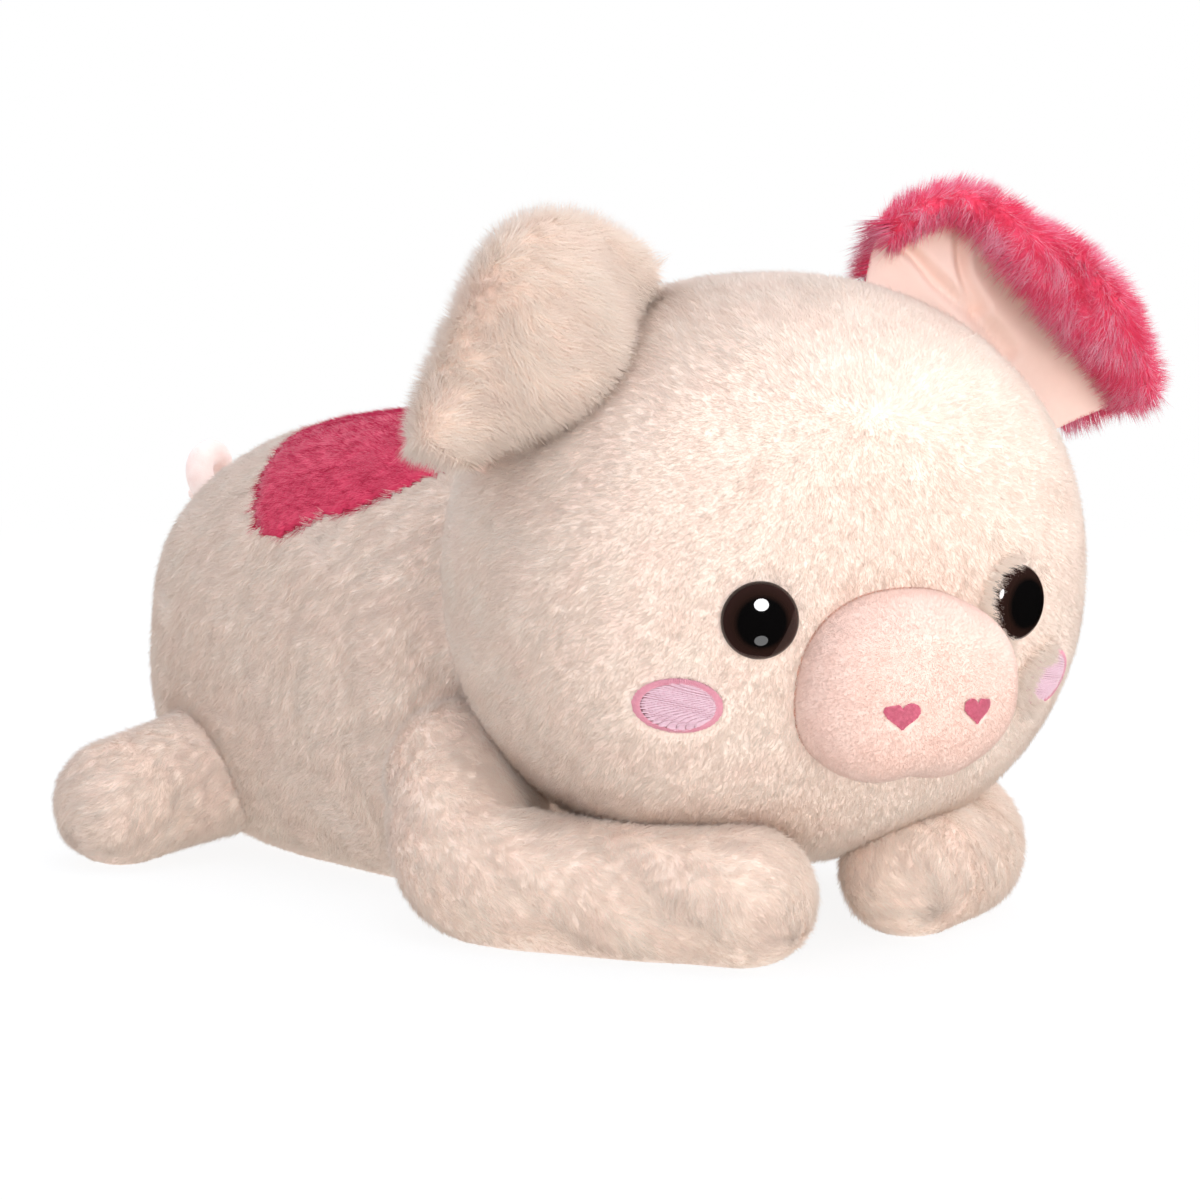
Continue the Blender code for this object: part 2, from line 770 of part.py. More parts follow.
def swung(points, axis_point, angle):
    turn = Matrix.Rotation(angle, 3, "Z")
    return [turn @ (point - axis_point) + axis_point for point in points]


def cut_room(obj, room, axis_point, angles, cutters):
    """Cuts a swinging piece by a neighbour's room, as the piece meets it at each of these angles."""
    for i, angle in enumerate(angles):
        name = f"{obj.name}_{room.name}_{i}"
        met = as_cutter(add_object(name, room.data, cutters))
        met.location = swung([room.location], axis_point, -angle)[0]
        met.rotation_euler = (0, 0, -angle)
        boolean(obj, met, solver="MANIFOLD")


def make_leg(name, points, thicknesses, swings, parts, cutters, floor, rooms):
    leg = stuffed_limb(name, points, thicknesses[0] / 2, thicknesses[1] / 2, parts)
    axis_point = points[0].copy()
    leg.data.transform(Matrix.Translation(-axis_point))
    leg.location = axis_point
    boolean(leg, floor, solver="MANIFOLD")
    for room in rooms:
        cut_room(leg, room, axis_point, swings, cutters)
    return finish_part(leg, CREAM, 0.95)


def make_forelegs(parts, cutters, floor, rooms):
    low = resting_height(FORELEG_THICKNESS / 2)
    for name, side, elbow, paw in (
        ("left", 1, (FAR_ELBOW_OUT, FAR_ELBOW_AHEAD), (FAR_PAW_OUT, FAR_PAW_AHEAD)),
        ("right", -1, (NEAR_ELBOW_OUT, NEAR_ELBOW_AHEAD), (NEAR_PAW_OUT, NEAR_PAW_AHEAD)),
    ):
        shoulder = Vector((side * SHOULDER_OUT, -SHOULDER_AHEAD, SHOULDER_HEIGHT))
        points = [shoulder, *(Vector((side * out, -ahead, low)) for out, ahead in (elbow, paw))]
        make_leg(
            "foreleg_" + name,
            points,
            (SHOULDER_THICKNESS, FORELEG_THICKNESS),
            [side * FORELEG_SWING * i / SWING_STEPS for i in range(SWING_STEPS + 1)],
            parts,
            cutters,
            floor,
            rooms,
        )


def make_hind_legs(parts, cutters, floor, rooms):
    low = resting_height(HIND_FOOT_THICKNESS / 2)
    for name, side in (("left", 1), ("right", -1)):
        hip = Vector((side * HIP_OUT, HIP_BACK, HIP_HEIGHT))
        foot = Vector((side * FOOT_OUT, FOOT_BACK, low))
        make_leg(
            "hind_leg_" + name,
            [hip, foot],
            (HIP_THICKNESS, HIND_FOOT_THICKNESS),
            (-HIND_LEG_SWING, HIND_LEG_SWING),
            parts,
            cutters,
            floor,
            rooms,
        )


def body_back(height):
    """How far back the body's surface is on its middle line, at this height."""
    low, high = 0.0, math.pi / 2
    for _ in range(50):
        middle = (low + high) / 2
        direction = Vector((0, math.cos(middle), math.sin(middle)))
        point = swell(direction, BODY_TOP_POWER, BODY_SIDE_POWER, BODY_BASE_POWER)
        too_low = BODY_CENTRE.z + BODY_HALF.z * point.z < height
        low, high = (middle, high) if too_low else (low, middle)
    return BODY_HALF.y * point.y


def make_tail(parts, cutters, body_room):
    """A stem out of the rump that runs on into a corkscrew curl."""
    root = Vector((0, body_back(TAIL_HEIGHT), TAIL_HEIGHT))
    radius = (TAIL_CURL_WIDTH - TAIL_THICKNESS) / 2
    path = [Vector((0, -PLUSH, 0)), Vector((0, TAIL_STEM / 2, 0))]
    for i in range(TAIL_STEPS + 1):
        share = i / TAIL_STEPS
        angle = math.tau * TAIL_TURNS * share
        path.append(Vector((
            -radius * (1 - math.cos(angle)),
            TAIL_STEM + TAIL_PITCH * TAIL_TURNS * share,
            -radius * math.sin(angle),
        )))
    curve = bpy.data.curves.new("tail", "CURVE")
    curve.dimensions = "3D"
    curve.bevel_depth = TAIL_THICKNESS / 2
    curve.bevel_resolution = TAIL_BEVEL_STEPS
    curve.use_fill_caps = True
    spline = curve.splines.new("POLY")
    spline.points.add(len(path) - 1)
    for i, (spline_point, point) in enumerate(zip(spline.points, path)):
        left = 1 - i / (len(path) - 1)
        spline_point.co = (*point, 1)
        round_off = math.sqrt(max(LIMB_TIP_SHARE, 1 - max(0, 1 - left / TAIL_TIP_SHARE) ** 2))
        spline_point.radius = round_off * (1 - TAIL_SLIM_SHARE * (1 - left))
    curve_object = add_object("tail_curve", curve, parts)
    bpy.context.view_layer.update()
    tail = curve_to_mesh(curve_object, "tail", parts)
    tail.location = root
    cut_room(tail, body_room, root, (-TAIL_SWING, TAIL_SWING), cutters)
    finish_part(tail, SNOUT_PINK, 0.9)


def main():
    clear_scene()
    parts = make_collection(COLLECTION)
    cutters = make_collection(COLLECTION + "_cutters")
    pivot = add_empty("head_pivot", parts, HEAD_CENTRE, -HEAD_TURN)
    head_room = make_head_room(cutters)
    body_room = as_cutter(body_form("body_room", grown(BODY_HALF, TURN_GAP), cutters))
    floor = make_floor_cutter(cutters)
    make_body(parts, cutters, floor, head_room)
    make_head(parts, cutters, pivot)
    make_snout(parts, cutters, pivot)
    make_nostrils(parts, cutters, pivot)
    make_cheeks(parts, cutters, pivot)
    make_ears(parts, cutters, pivot)
    make_forelegs(parts, cutters, floor, (body_room, head_room))
    make_hind_legs(parts, cutters, floor, (body_room,))
    make_tail(parts, cutters, body_room)


main()
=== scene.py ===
"""The looks of a stuffed toy pig: long plush pile, velour, embroidery and glossy eyes.

Metres, +Z up. The pig faces -Y and its left side is +X.
"""

import json
import math

import bmesh
import bpy
import numpy as np
from mathutils import Matrix, Vector
from mathutils.kdtree import KDTree


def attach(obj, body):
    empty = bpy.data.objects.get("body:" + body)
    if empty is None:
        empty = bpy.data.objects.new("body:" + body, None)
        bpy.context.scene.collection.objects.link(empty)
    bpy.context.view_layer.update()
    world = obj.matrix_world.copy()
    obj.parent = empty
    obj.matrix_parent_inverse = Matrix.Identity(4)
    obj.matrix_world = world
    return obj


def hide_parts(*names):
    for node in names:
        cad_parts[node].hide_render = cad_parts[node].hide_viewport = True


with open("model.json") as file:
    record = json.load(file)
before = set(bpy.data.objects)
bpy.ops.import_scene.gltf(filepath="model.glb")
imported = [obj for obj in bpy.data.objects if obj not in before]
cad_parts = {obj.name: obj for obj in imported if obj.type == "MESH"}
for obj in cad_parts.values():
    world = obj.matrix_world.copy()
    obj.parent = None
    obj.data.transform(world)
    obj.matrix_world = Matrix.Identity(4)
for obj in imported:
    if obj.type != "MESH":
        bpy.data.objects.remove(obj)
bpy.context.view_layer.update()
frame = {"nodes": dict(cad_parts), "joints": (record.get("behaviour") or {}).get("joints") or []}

JOINTS = {joint["name"]: joint for joint in frame["joints"]}
UP = np.array((0.0, 0.0, 1.0))
AHEAD = np.array((0.0, -1.0, 0.0))

# The view of the photograph.
VIEW_AZIMUTH = math.radians(-40)
VIEW_ELEVATION = math.radians(8)
VIEW_DISTANCE = 2.0
VIEW_TARGET = Vector((0.008, -0.083, 0.110))
VIEW_LENS = 153.84
SENSOR = 36.0

# Light. The world is brighter from one way. A lamp has its place, size, power in watts and colour.
WORLD_COLOUR = (0.94, 0.99, 1.09)
WORLD_LEVEL = 1.28
WORLD_SLOPE = 0.28
WORLD_BRIGHT_WAY = (0.42, -0.80, -0.42)
WHITE = (1.0, 1.0, 1.0)
LAMPS = {
    "front": ((-0.4, -1.7, 0.14), 1.2, 10.5, (1.0, 0.94, 0.85)),
    "side": ((1.2, -0.9, 0.9), 1.0, 4.5, (1.0, 0.96, 0.92)),
    "top": ((0.1, -0.2, 1.7), 1.2, 6, WHITE),
    "fill": ((-1.5, -0.8, 0.20), 1.2, 2, (0.98, 0.98, 1.0)),
}
GLINTS = {
    "glint": ((-0.86, -1.82, 0.785), 0.8, 70, WHITE),
    "low_glint": ((-0.57, -1.32, -0.86), 0.55, 4, WHITE),
}
# The floor is plain white to the camera further away, and nearly so close by, where shade shows.
FLOOR_HALF = 12.0
FLOOR_COLOUR = (0.94, 0.94, 0.94)
FLOOR_FADE = {"From Min": 0.35, "From Max": 1.1, "To Min": 0.88, "To Max": 1.0}
FLOOR_GLOW = 0.8

# Head, body and snout, as the solids have them. Powers say how square a swollen form is at its
# top, round its middle and at its bottom.
HEAD_CENTRE = np.array(JOINTS["head_turn"]["pos_m"])
HEAD_TURN = -math.radians(JOINTS["head_turn"]["range_deg"][1] / 2)
HEAD_HALF = np.array((0.120, 0.1025, 0.1085))
HEAD_POWERS = (2.15, 2.15, 2.15)
BODY_CENTRE = np.array((0.0, 0.0, 0.088))
BODY_HALF = np.array((0.094, 0.141, 0.0885))
BODY_POWERS = (2.15, 2.4, 3.1)
BODY_SAG = 0.008
BODY_SAG_HEIGHT = 0.050
SNOUT_CENTRE = np.array((0.0, -0.0995, -0.030))
SNOUT_HALF = np.array((0.038, 0.034, 0.035))
SNOUT_POWERS = (2.3, 2.3, 2.3)
SNOUT_SLOPE_POWER = 1.3
# The radius of the thin dark tube that paints the shadow in the snout's seam.
SEAM_SHADOW_RADIUS = 0.0006
SNOUT_FULLER = 0.006
SNOUT_DIP = 0.0035
SNOUT_DIP_WIDTH = 0.010

# Eyes. The tones lie round the middle, each at its share of the radius.
EYE_SPACING = 0.104
EYE_DROP = 0.004
EYE_RADIUS = 0.014
EYE_RISE = 0.0085
EYE_SEAT = 0.0012
EYE_EDGE = 0.0014
EYE_BACK_SHARES = ((0.99, 0.5), (0.95, 0.0), (0.0, 0.0))
EYE_STEPS, EYE_SIDES = 20, 64
EYE_RIM = (0.004, 0.003, 0.003)
EYE_TONES = (
    (0.60, (0.0025, 0.0022, 0.0022)),
    (0.72, (0.017, 0.008, 0.006)),
    (0.93, (0.026, 0.012, 0.010)),
    (1.0, EYE_RIM),
)

# Stitching. A thread's profile goes across it: shares of its half width and of its rise.
THREAD = 0.00042
THREAD_PROFILE = ((-1.0, 0.0), (-0.6, 0.75), (0.0, 1.0), (0.6, 0.75), (1.0, 0.0))
THREAD_END_SHARE = 0.35
CHEEK_HALF = (0.016, 0.0105)
CHEEK_SPACING = 0.150
CHEEK_DROP = 0.035
CHEEK_LIFT = 0.0016
CHEEK_GROUND = ((0.35, 0.8), (0.7, 0.8), (1.0, 0.2))
CHEEK_SIDES = 48
FILL_SHARE = 0.88
FILL_ROWS_SHARE = 0.86
FILL_STITCH = 0.0031
FILL_GAP = 0.0002
FILL_SHIFT = 0.0011
FILL_LEAST = 0.0006
FILL_BEND = 0.0003
FILL_UNEVEN = 5e-5
FILL_RISE = 0.0005
BORDER_STITCHES = 150
BORDER_SHARES = (0.84, 0.93, 1.02)
BORDER_LIFTS = np.array(((1.0,), (1.0,), (0.6,)))
BORDER_UNEVEN = 0.015
BORDER_RISE = 0.0007
NOSTRIL_SPACING = 0.030
NOSTRIL_DROP = 0.006
HEART_SIZE = (0.0125, 0.0100)
HEART_WAVE_SHARES = (0.45, -0.17, -0.07, -0.035)
HEART_LIFT_SHARE = 0.09
HEART_SLANT = 0.18
HEART_ROW_SHARE = 0.78
HEART_UNEVEN = 0.00025
HEART_OUTLINE, HEART_STITCH = 240, 7
HEART_LIFT = 0.0003
HEART_RISE = 0.0009

# Patch on the back.
PATCH_LENGTH = 0.112
PATCH_WIDTH = 0.122
PATCH_SIDE = 0.022
PATCH_BACK = -0.001
PATCH_WAVE_SHARE = 0.035
PATCH_WAVES = 5
PATCH_RAGGED = 0.012
PATCH_RAGGED_SIZE = 0.008
PATCH_CLOTH = 0.0014
PATCH_PROUD = 0.6

# Ears. Shares along each go from the crown to the side: how far the ear stands, and the rise and
# the fold of its free edge.
EAR_TOP_OUT = 0.046
EAR_SIDE_OUT = 0.113
EAR_BACK_SET = 0.004
EAR_TOP_LEAN = math.radians(72)
EAR_SIDE_LEAN = math.radians(22)
EAR_ROOT_DEPTH = 0.010
EAR_STAND = 0.047
EAR_FOLD = 0.054
EAR_LEAN_SHARES = (0.00, 0.12, 0.36, 0.68, 1.00)
EAR_SHARES = {
    "left": (
        (0.50, 0.90, 0.98, 1.12, 1.00),
        (0.40, 0.82, 0.62, 0.60, 0.84),
        (0.06, 0.18, 0.40, 0.40, 0.28),
    ),
    "right": (
        (0.30, 0.78, 1.10, 0.94, 0.80),
        (0.20, 0.05, -0.12, -0.12, 0.46),
        (0.05, 0.27, 0.66, 0.68, 0.40),
    ),
}
EAR_FORWARD_SHARE = 0.28
EAR_BACKWARD_SHARE = 0.35
EAR_CLOTH = 0.0034
EAR_LINING = 0.0026
EAR_ROUND_SHARE = 0.09
EAR_THINNEST = 0.02
EAR_ACROSS, EAR_ALONG = 140, 120
# Creases in the lining, each from crown to side and from root to edge as shares.
EAR_CREASES = {
    "left": (
        ((0.12, 0.26), (0.33, 0.14), (0.74, 0.10)),
        ((0.30, 0.40), (0.40, 0.21), (0.54, 0.13)),
    ),
    "right": (((0.86, 0.20), (0.93, 0.50), (0.95, 0.85)),),
}
EAR_SPAN = 0.115
CREASE_DEPTH = 0.0052
CREASE_PUFF = 0.0042
CREASE_WIDTH = 0.0028
CREASE_PUFF_WIDTH = 3.5 * CREASE_WIDTH

# Limbs: middle lines, then the half thickness at the root and at the end.
FORELEG_LOW = 0.0245
HIND_FOOT_LOW = 0.0240
NEAR_FORELEG = (
    (-0.082, -0.112, 0.052), (-0.099, -0.150, FORELEG_LOW), (-0.058, -0.242, FORELEG_LOW)
)
FAR_FORELEG = (
    (0.082, -0.112, 0.052), (0.085, -0.200, FORELEG_LOW), (0.027, -0.240, FORELEG_LOW)
)
LIMBS = {
    "foreleg_left": (FAR_FORELEG, 0.031, 0.0255),
    "foreleg_right": (NEAR_FORELEG, 0.031, 0.0255),
    "hind_leg_left": (((0.066, 0.058, 0.036), (0.118, 0.064, HIND_FOOT_LOW)), 0.028, 0.025),
    "hind_leg_right": (((-0.066, 0.058, 0.036), (-0.118, 0.064, HIND_FOOT_LOW)), 0.028, 0.025),
}
LIMB_TAPER_SHARE = 0.55
LIMB_STEPS, LIMB_SIDES = 72, 48
# The least share of its thickness, squared, that a rounded end keeps at its tip.
TIP_SHARE = 0.0004

# Tail.
TAIL_ROOT = np.array((0.0, 0.1203, 0.140))
TAIL_RADIUS = 0.0065
TAIL_THINNER = 0.25
TAIL_CURL = 0.009
TAIL_PITCH = 0.022
TAIL_TURNS = 1.3
TAIL_STEM = 0.016
TAIL_INSET = 0.006
TAIL_TIP_SHARE = 0.12
TAIL_STEPS, TAIL_SIDES = 90, 28

# Pile. The face is clipped short, and so is what lies near the floor and round the tail.
PILE_LENGTH = 0.0060
FACE_LENGTH_SHARE = 0.50
FACE_START, FACE_BLEND = 0.25, 0.45
EAR_LENGTH_SHARE = 1.55
LOW_PILE = (0.25, 0.012, 0.3)
TAIL_CLEAR = (0.024, 0.45)
PILE_WIDTH = 0.00027
PILE_DENSITY = 2.4e6
EAR_DENSITY_SHARE = 1.15
PILE_LEAN = math.radians(69)
FACE_LEAN = math.radians(59)
EAR_LEAN = math.radians(48)
FRINGE_LEAN = math.radians(12)
BROW_LEAN = math.radians(16)
HEAD_FLOW = np.array((0, 0.8, -0.55))
HEAD_OUTWARD = 0.1
BODY_FLOW = (0.0, 0.55, -0.7)
LIMB_DROOP = np.array((0, 0, -0.35))
SNOUT_FLOW = np.array((0, 0.8, -0.5))
PIECE_FACES = 190_000
VELOUR_LENGTH = 0.0012
VELOUR_LEAN = math.radians(38)
VELOUR_DENSITY_SHARE = 2.2
FRINGE_DEPTH = 0.013
FRINGE_SHARES = (1.7, 2.0, 1.5)
FRINGE_INSET = 0.004
FLOOR_CLEAR = 0.0004
BODY_PILE_FLOOR = 0.0015
LIMB_PILE_FLOOR = 0.0012
SEED = 20

# Within a pile: how its strands swirl, tilt, vary in size and take their tones.
SWIRL_SIZES, SWIRL_SHARES = (0.034, 0.011), (0.6, 0.4)
TUFT_SIZE = 0.0058
TUFT_SHARE = 0.10
TURN_SPREAD = 0.28
TILT_SPREAD = 0.13
TILT_RANGE = (0.1, 1.4)
REACH_RANGE = (0.68, 1.12)
WIDTH_RANGE = (0.7, 1.2)
ROOT_DEPTH = 0.0002
CLOTH_TILT = 0.3
CLOTH_SPREAD = 0.12
TONE_SIZE = 0.023
TONE_SHARE = 0.35
TONE_SPREAD = 0.75
TONE_SPAN = 1.1

# Pile round the eyes and cheeks. On the far side, long strands stand up and hide the edges.
NEAR_DEPTH = 0.02
EYE_OVERLAP = 0.0024
LID_REACH, LID_SHARE = 0.003, 0.8
BROW_REACH, BROW_SHARE = 0.0045, 1.7
BROW_STRANDS = 5
BROW_SHIFT = 0.00001
CHEEK_BARE, CHEEK_FAR_BARE = 0.97, 0.72
CHEEK_REACH, CHEEK_SHARE = 1.25, 0.6
CHEEK_FAR_REACH = 1.4
HEART_BARE = (0.43, 0.45)

CREAM = (0.97, 0.80, 0.68)
CREAM_LIGHT = (0.98, 0.85, 0.74)
CREAM_DEEP = (0.95, 0.76, 0.65)
PEACH = (0.94, 0.72, 0.61)
PINK = (0.98, 0.13, 0.25)
PINK_LIGHT = (0.99, 0.46, 0.58)
PINK_DEEP = (0.93, 0.06, 0.14)
PINK_SHEEN = 0.25
# The patch is the same pink plush as the ear, darkened: painted shade, as the back lies in shade.
PAINTED_SHADE_PINK_DEEP = (0.54, 0.02, 0.07)
PAINTED_SHADE_PINK = (0.68, 0.035, 0.10)
PAINTED_SHADE_PINK_LIGHT = (0.78, 0.08, 0.16)
SNOUT_PINK = (0.94, 0.68, 0.58)
SNOUT_DEEP = (0.91, 0.62, 0.52)
SNOUT_LIGHT = (0.97, 0.74, 0.64)
PILE_ROUGHNESS, PILE_SPECULAR = 0.9, 0.05
# Cloths: two tones, how fine they are mottled, the depth and fineness of the nap, roughness, sheen.
CLOTHS = {
    "plush_ground": (PEACH, CREAM, 90, 0.5, 900, 0.9, 0.25),
    # The patch's ground is the pink ground darkened: painted shade on the back.
    "pink_ground_painted_shade": (PAINTED_SHADE_PINK_DEEP, PAINTED_SHADE_PINK, 90, 0.5, 900, 0.9, 0.25),
    "pink_plush_ground": (PINK_DEEP, PINK, 90, 0.5, 900, 0.9, 0.25),
    "velour_snout": (SNOUT_DEEP, SNOUT_PINK, 120, 0.25, 2600, 0.9, 0.1),
    # seam_shade is painted shadow: dark brown tones for the crease round the snout.
    "seam_shade": ((0.58, 0.28, 0.20), (0.70, 0.38, 0.29), 200, 0.3, 2600, 0.9, 0.0),
    "velour_lining": ((0.93, 0.68, 0.58), (0.95, 0.70, 0.60), 120, 0.25, 2600, 0.9, 0.1),
    "velour_tail": ((0.90, 0.68, 0.61), (0.94, 0.77, 0.70), 160, 0.35, 2200, 0.85, 0.5),
    "thread_rose": ((0.58, 0.10, 0.17), (0.70, 0.16, 0.24), 900, 0.15, 3000, 0.45, 0.2),
    "thread_border": ((0.68, 0.27, 0.34), (0.74, 0.32, 0.39), 900, 0.15, 3000, 0.45, 0.2),
    "thread_fill": ((0.76, 0.50, 0.57), (0.80, 0.57, 0.63), 700, 0.15, 3000, 0.45, 0.2),
    "thread_ground": ((0.70, 0.36, 0.43), (0.74, 0.41, 0.48), 700, 0.15, 3000, 0.7, 0.2),
    "washer_plastic": ((0.78, 0.78, 0.77), (0.88, 0.88, 0.87), 300, 0.05, 900, 0.45, 0.0),
}
CLOTH_SPECULAR = 0.25
MOTTLE_LOW, MOTTLE_HIGH, MOTTLE_DETAIL = 0.35, 0.65, 5
NAP_HEIGHT, NAP_DETAIL = 0.001, 4


def unit(vectors):
    return vectors / np.maximum(np.linalg.norm(vectors, axis=-1, keepdims=True), 1e-12)


def through(table, share):
    """Points on the smooth curve through a table, at each share from 0 to 1."""
    table = np.asarray(table, float)
    if table.ndim == 1:
        return through(table[:, None], share)[..., 0]
    spans = len(table) - 1
    place = np.clip(np.asarray(share, float) * spans, 0, spans - 1e-9)
    i = place.astype(int)
    t = (place - i)[..., None]
    padded = np.vstack((2 * table[0] - table[1], table, 2 * table[-1] - table[-2]))
    before, start, end, after = (padded[i + k] for k in range(4))
    return (
        start * 2
        + (end - before) * t
        + (before * 2 - start * 5 + end * 4 - after) * t**2
        + (start * 3 - before - end * 3 + after) * t**3
    ) / 2


def waves(points, length, seed, count=8):
    """Smooth noise about 0 with a spread of 1: a sum of waves near this length, all ways."""
    rng = np.random.default_rng(seed)
    total = np.zeros(len(points))
    for _ in range(count):
        direction = unit(rng.normal(size=3))
        pitch = math.tau / (length * rng.uniform(0.7, 1.4))
        total += np.sin(points @ direction * pitch + rng.uniform(0, math.tau))
    return total / math.sqrt(count / 2)


def head_matrix():
    return Matrix.Translation(HEAD_CENTRE) @ Matrix.Rotation(HEAD_TURN, 4, "Z")


def from_head(points):
    """Points of the head, given about its middle and facing ahead, where the turned head has them."""
    c, s = math.cos(HEAD_TURN), math.sin(HEAD_TURN)
    return points @ np.array(((c, -s, 0), (s, c, 0), (0, 0, 1))).T + HEAD_CENTRE


def to_head(points):
    c, s = math.cos(HEAD_TURN), math.sin(HEAD_TURN)
    return (points - HEAD_CENTRE) @ np.array(((c, -s, 0), (s, c, 0), (0, 0, 1)))


def blended_power(directions, powers):
    """How square a form is in each direction, from its middle towards its top or bottom."""
    end = np.where(directions[:, 2] > 0, powers[0], powers[2])
    return powers[1] + (end - powers[1]) * np.abs(directions[:, 2])


def form_value(points, centre, half, powers):
    """Under 1 inside a swollen form, 1 on it and more outside."""
    scaled = (points - centre) / half
    power = blended_power(unit(scaled), powers)
    return (np.abs(scaled) ** power[:, None]).sum(1) ** (1 / power)


def outside_head(points, share=1.0):
    """Whether points about the head's middle are outside its form, or a share of it."""
    return form_value(points, np.zeros(3), HEAD_HALF * share, HEAD_POWERS) > 1


def outside_body(points, share):
    return form_value(points, BODY_CENTRE, BODY_HALF * share, BODY_POWERS) > 1


def swell(directions, powers):
    """Directions stretched to the surface of a swollen form with a half size of 1."""
    power = blended_power(directions, powers)
    total = (np.abs(directions) ** power[:, None]).sum(1)
    return directions / (total ** (1 / power))[:, None]


def mesh_points(mesh, what="co"):
    values = np.empty(len(mesh.vertices) * 3, np.float32)
    mesh.vertices.foreach_get(what, values)
    return values.reshape(-1, 3).astype(float)


def set_points(mesh, points):
    mesh.vertices.foreach_set("co", points.astype(np.float32).ravel())
    mesh.update()


def add_object(name, mesh, materials=()):
    obj = bpy.data.objects.new(name, mesh)
    bpy.context.scene.collection.objects.link(obj)
    for material in materials:
        mesh.materials.append(material)
    return obj


def triangle_mesh(name, points, triangles, slots=None):
    mesh = bpy.data.meshes.new(name)
    mesh.vertices.add(len(points))
    mesh.vertices.foreach_set("co", points.astype(np.float32).ravel())
    mesh.loops.add(3 * len(triangles))
    mesh.loops.foreach_set("vertex_index", triangles.astype(np.int32).ravel())
    mesh.polygons.add(len(triangles))
    mesh.polygons.foreach_set("loop_start", np.arange(0, 3 * len(triangles), 3, dtype=np.int32))
    if slots is not None:
        mesh.polygons.foreach_set("material_index", slots.astype(np.int32))
    mesh.update(calc_edges=True)
    return mesh


def grid_mesh(name, points, wrap=False):
    """A sheet through rows of points. With wrap the last column joins the first."""
    rows, columns = points.shape[:2]
    index = np.arange(rows * columns).reshape(rows, columns)
    if wrap:
        index = np.hstack((index, index[:, :1]))
    corners = (index[:-1, :-1], index[:-1, 1:], index[1:, 1:], index[1:, :-1])
    quads = np.stack(corners, -1).reshape(-1, 4)
    mesh = bpy.data.meshes.new(name)
    mesh.from_pydata(points.reshape(-1, 3).tolist(), [], quads.tolist())
    return mesh


def closed(mesh):
    """The same mesh with its open rims filled, doubled points joined and its faces turned out."""
    bm = bmesh.new()
    bm.from_mesh(mesh)
    bmesh.ops.remove_doubles(bm, verts=bm.verts, dist=1e-6)
    bmesh.ops.holes_fill(bm, edges=[edge for edge in bm.edges if edge.is_boundary])
    bmesh.ops.recalc_face_normals(bm, faces=bm.faces)
    bm.to_mesh(mesh)
    bm.free()
    mesh.shade_smooth()
    return mesh


def swollen_mesh(name, centre, half, powers, segments=160, rings=96):
    """A swollen form: rings of points from its bottom to its top, and a point at each pole."""
    fall = np.linspace(math.pi, 0, rings + 1)[1:-1]
    turn = np.arange(segments) * math.tau / segments
    fall, turn = np.meshgrid(fall, turn, indexing="ij")
    out = np.sin(fall)
    ways = np.stack((out * np.cos(turn), out * np.sin(turn), np.cos(fall)), -1).reshape(-1, 3)
    index = np.arange(len(ways)).reshape(fall.shape)
    after = np.roll(index, -1, axis=1)
    quads = np.stack((index[:-1], after[:-1], after[1:], index[1:]), -1).reshape(-1, 4)
    low, high = len(ways), len(ways) + 1
    faces = quads.tolist() + [(b, a, low) for a, b in zip(index[0].tolist(), after[0].tolist())]
    faces += [(a, b, high) for a, b in zip(index[-1].tolist(), after[-1].tolist())]
    points = swell(np.vstack((ways, -UP, UP)), powers) * half + centre
    mesh = bpy.data.meshes.new(name)
    mesh.from_pydata(points.tolist(), [], faces)
    mesh.update()
    mesh.shade_smooth()
    return mesh


def new_material(name, colour, roughness, sheen, specular, sheen_tint=WHITE):
    material = bpy.data.materials.new(name)
    material.use_nodes = True
    shader = material.node_tree.nodes["Principled BSDF"]
    shader.inputs["Base Color"].default_value = (*colour, 1)
    shader.inputs["Roughness"].default_value = roughness
    shader.inputs["Sheen Weight"].default_value = sheen
    shader.inputs["Sheen Tint"].default_value = (*sheen_tint, 1)
    shader.inputs["Specular IOR Level"].default_value = specular
    return material, shader


def add_node(nodes, kind, values=(), operation=None):
    """A new shader node, with inputs set by their names or numbers."""
    node = nodes.new("ShaderNode" + kind)
    if operation:
        node.operation = operation
    for key, value in dict(values).items():
        node.inputs[key].default_value = value
    return node


def connect(links, *joins):
    """Links, each from a node's output to a node's input, by their names or numbers."""
    for source, output, target, value in joins:
        links.new(source.outputs[output], target.inputs[value])


def add_ramp(nodes, stops):
    """A colour ramp through stops, each a position and a colour."""
    ramp = nodes.new("ShaderNodeValToRGB")
    elements = ramp.color_ramp.elements
    for i, (position, colour) in enumerate(stops):
        element = elements[i] if i < 2 else elements.new(position)
        element.position = position
        element.color = (*colour, 1)
    return ramp


def mottled_material(name, dark, light, scale, bump, bump_scale, roughness, sheen):
    """Cloth whose colour wanders between two tones, with a fine nap in relief."""
    material, shader = new_material(name, light, roughness, sheen, CLOTH_SPECULAR)
    nodes, links = material.node_tree.nodes, material.node_tree.links
    place = add_node(nodes, "TexCoord")
    noise = add_node(nodes, "TexNoise", {"Scale": scale, "Detail": MOTTLE_DETAIL})
    ramp = add_ramp(nodes, ((MOTTLE_LOW, dark), (MOTTLE_HIGH, light)))
    nap = add_node(nodes, "TexNoise", {"Scale": bump_scale, "Detail": NAP_DETAIL})
    relief = add_node(nodes, "Bump", {"Strength": bump, "Distance": NAP_HEIGHT})
    connect(
        links,
        (place, "Object", noise, "Vector"),
        (place, "Object", nap, "Vector"),
        (noise, "Fac", ramp, "Fac"),
        (ramp, "Color", shader, "Base Color"),
        (nap, "Fac", relief, "Height"),
        (relief, "Normal", shader, "Normal"),
    )
    return material


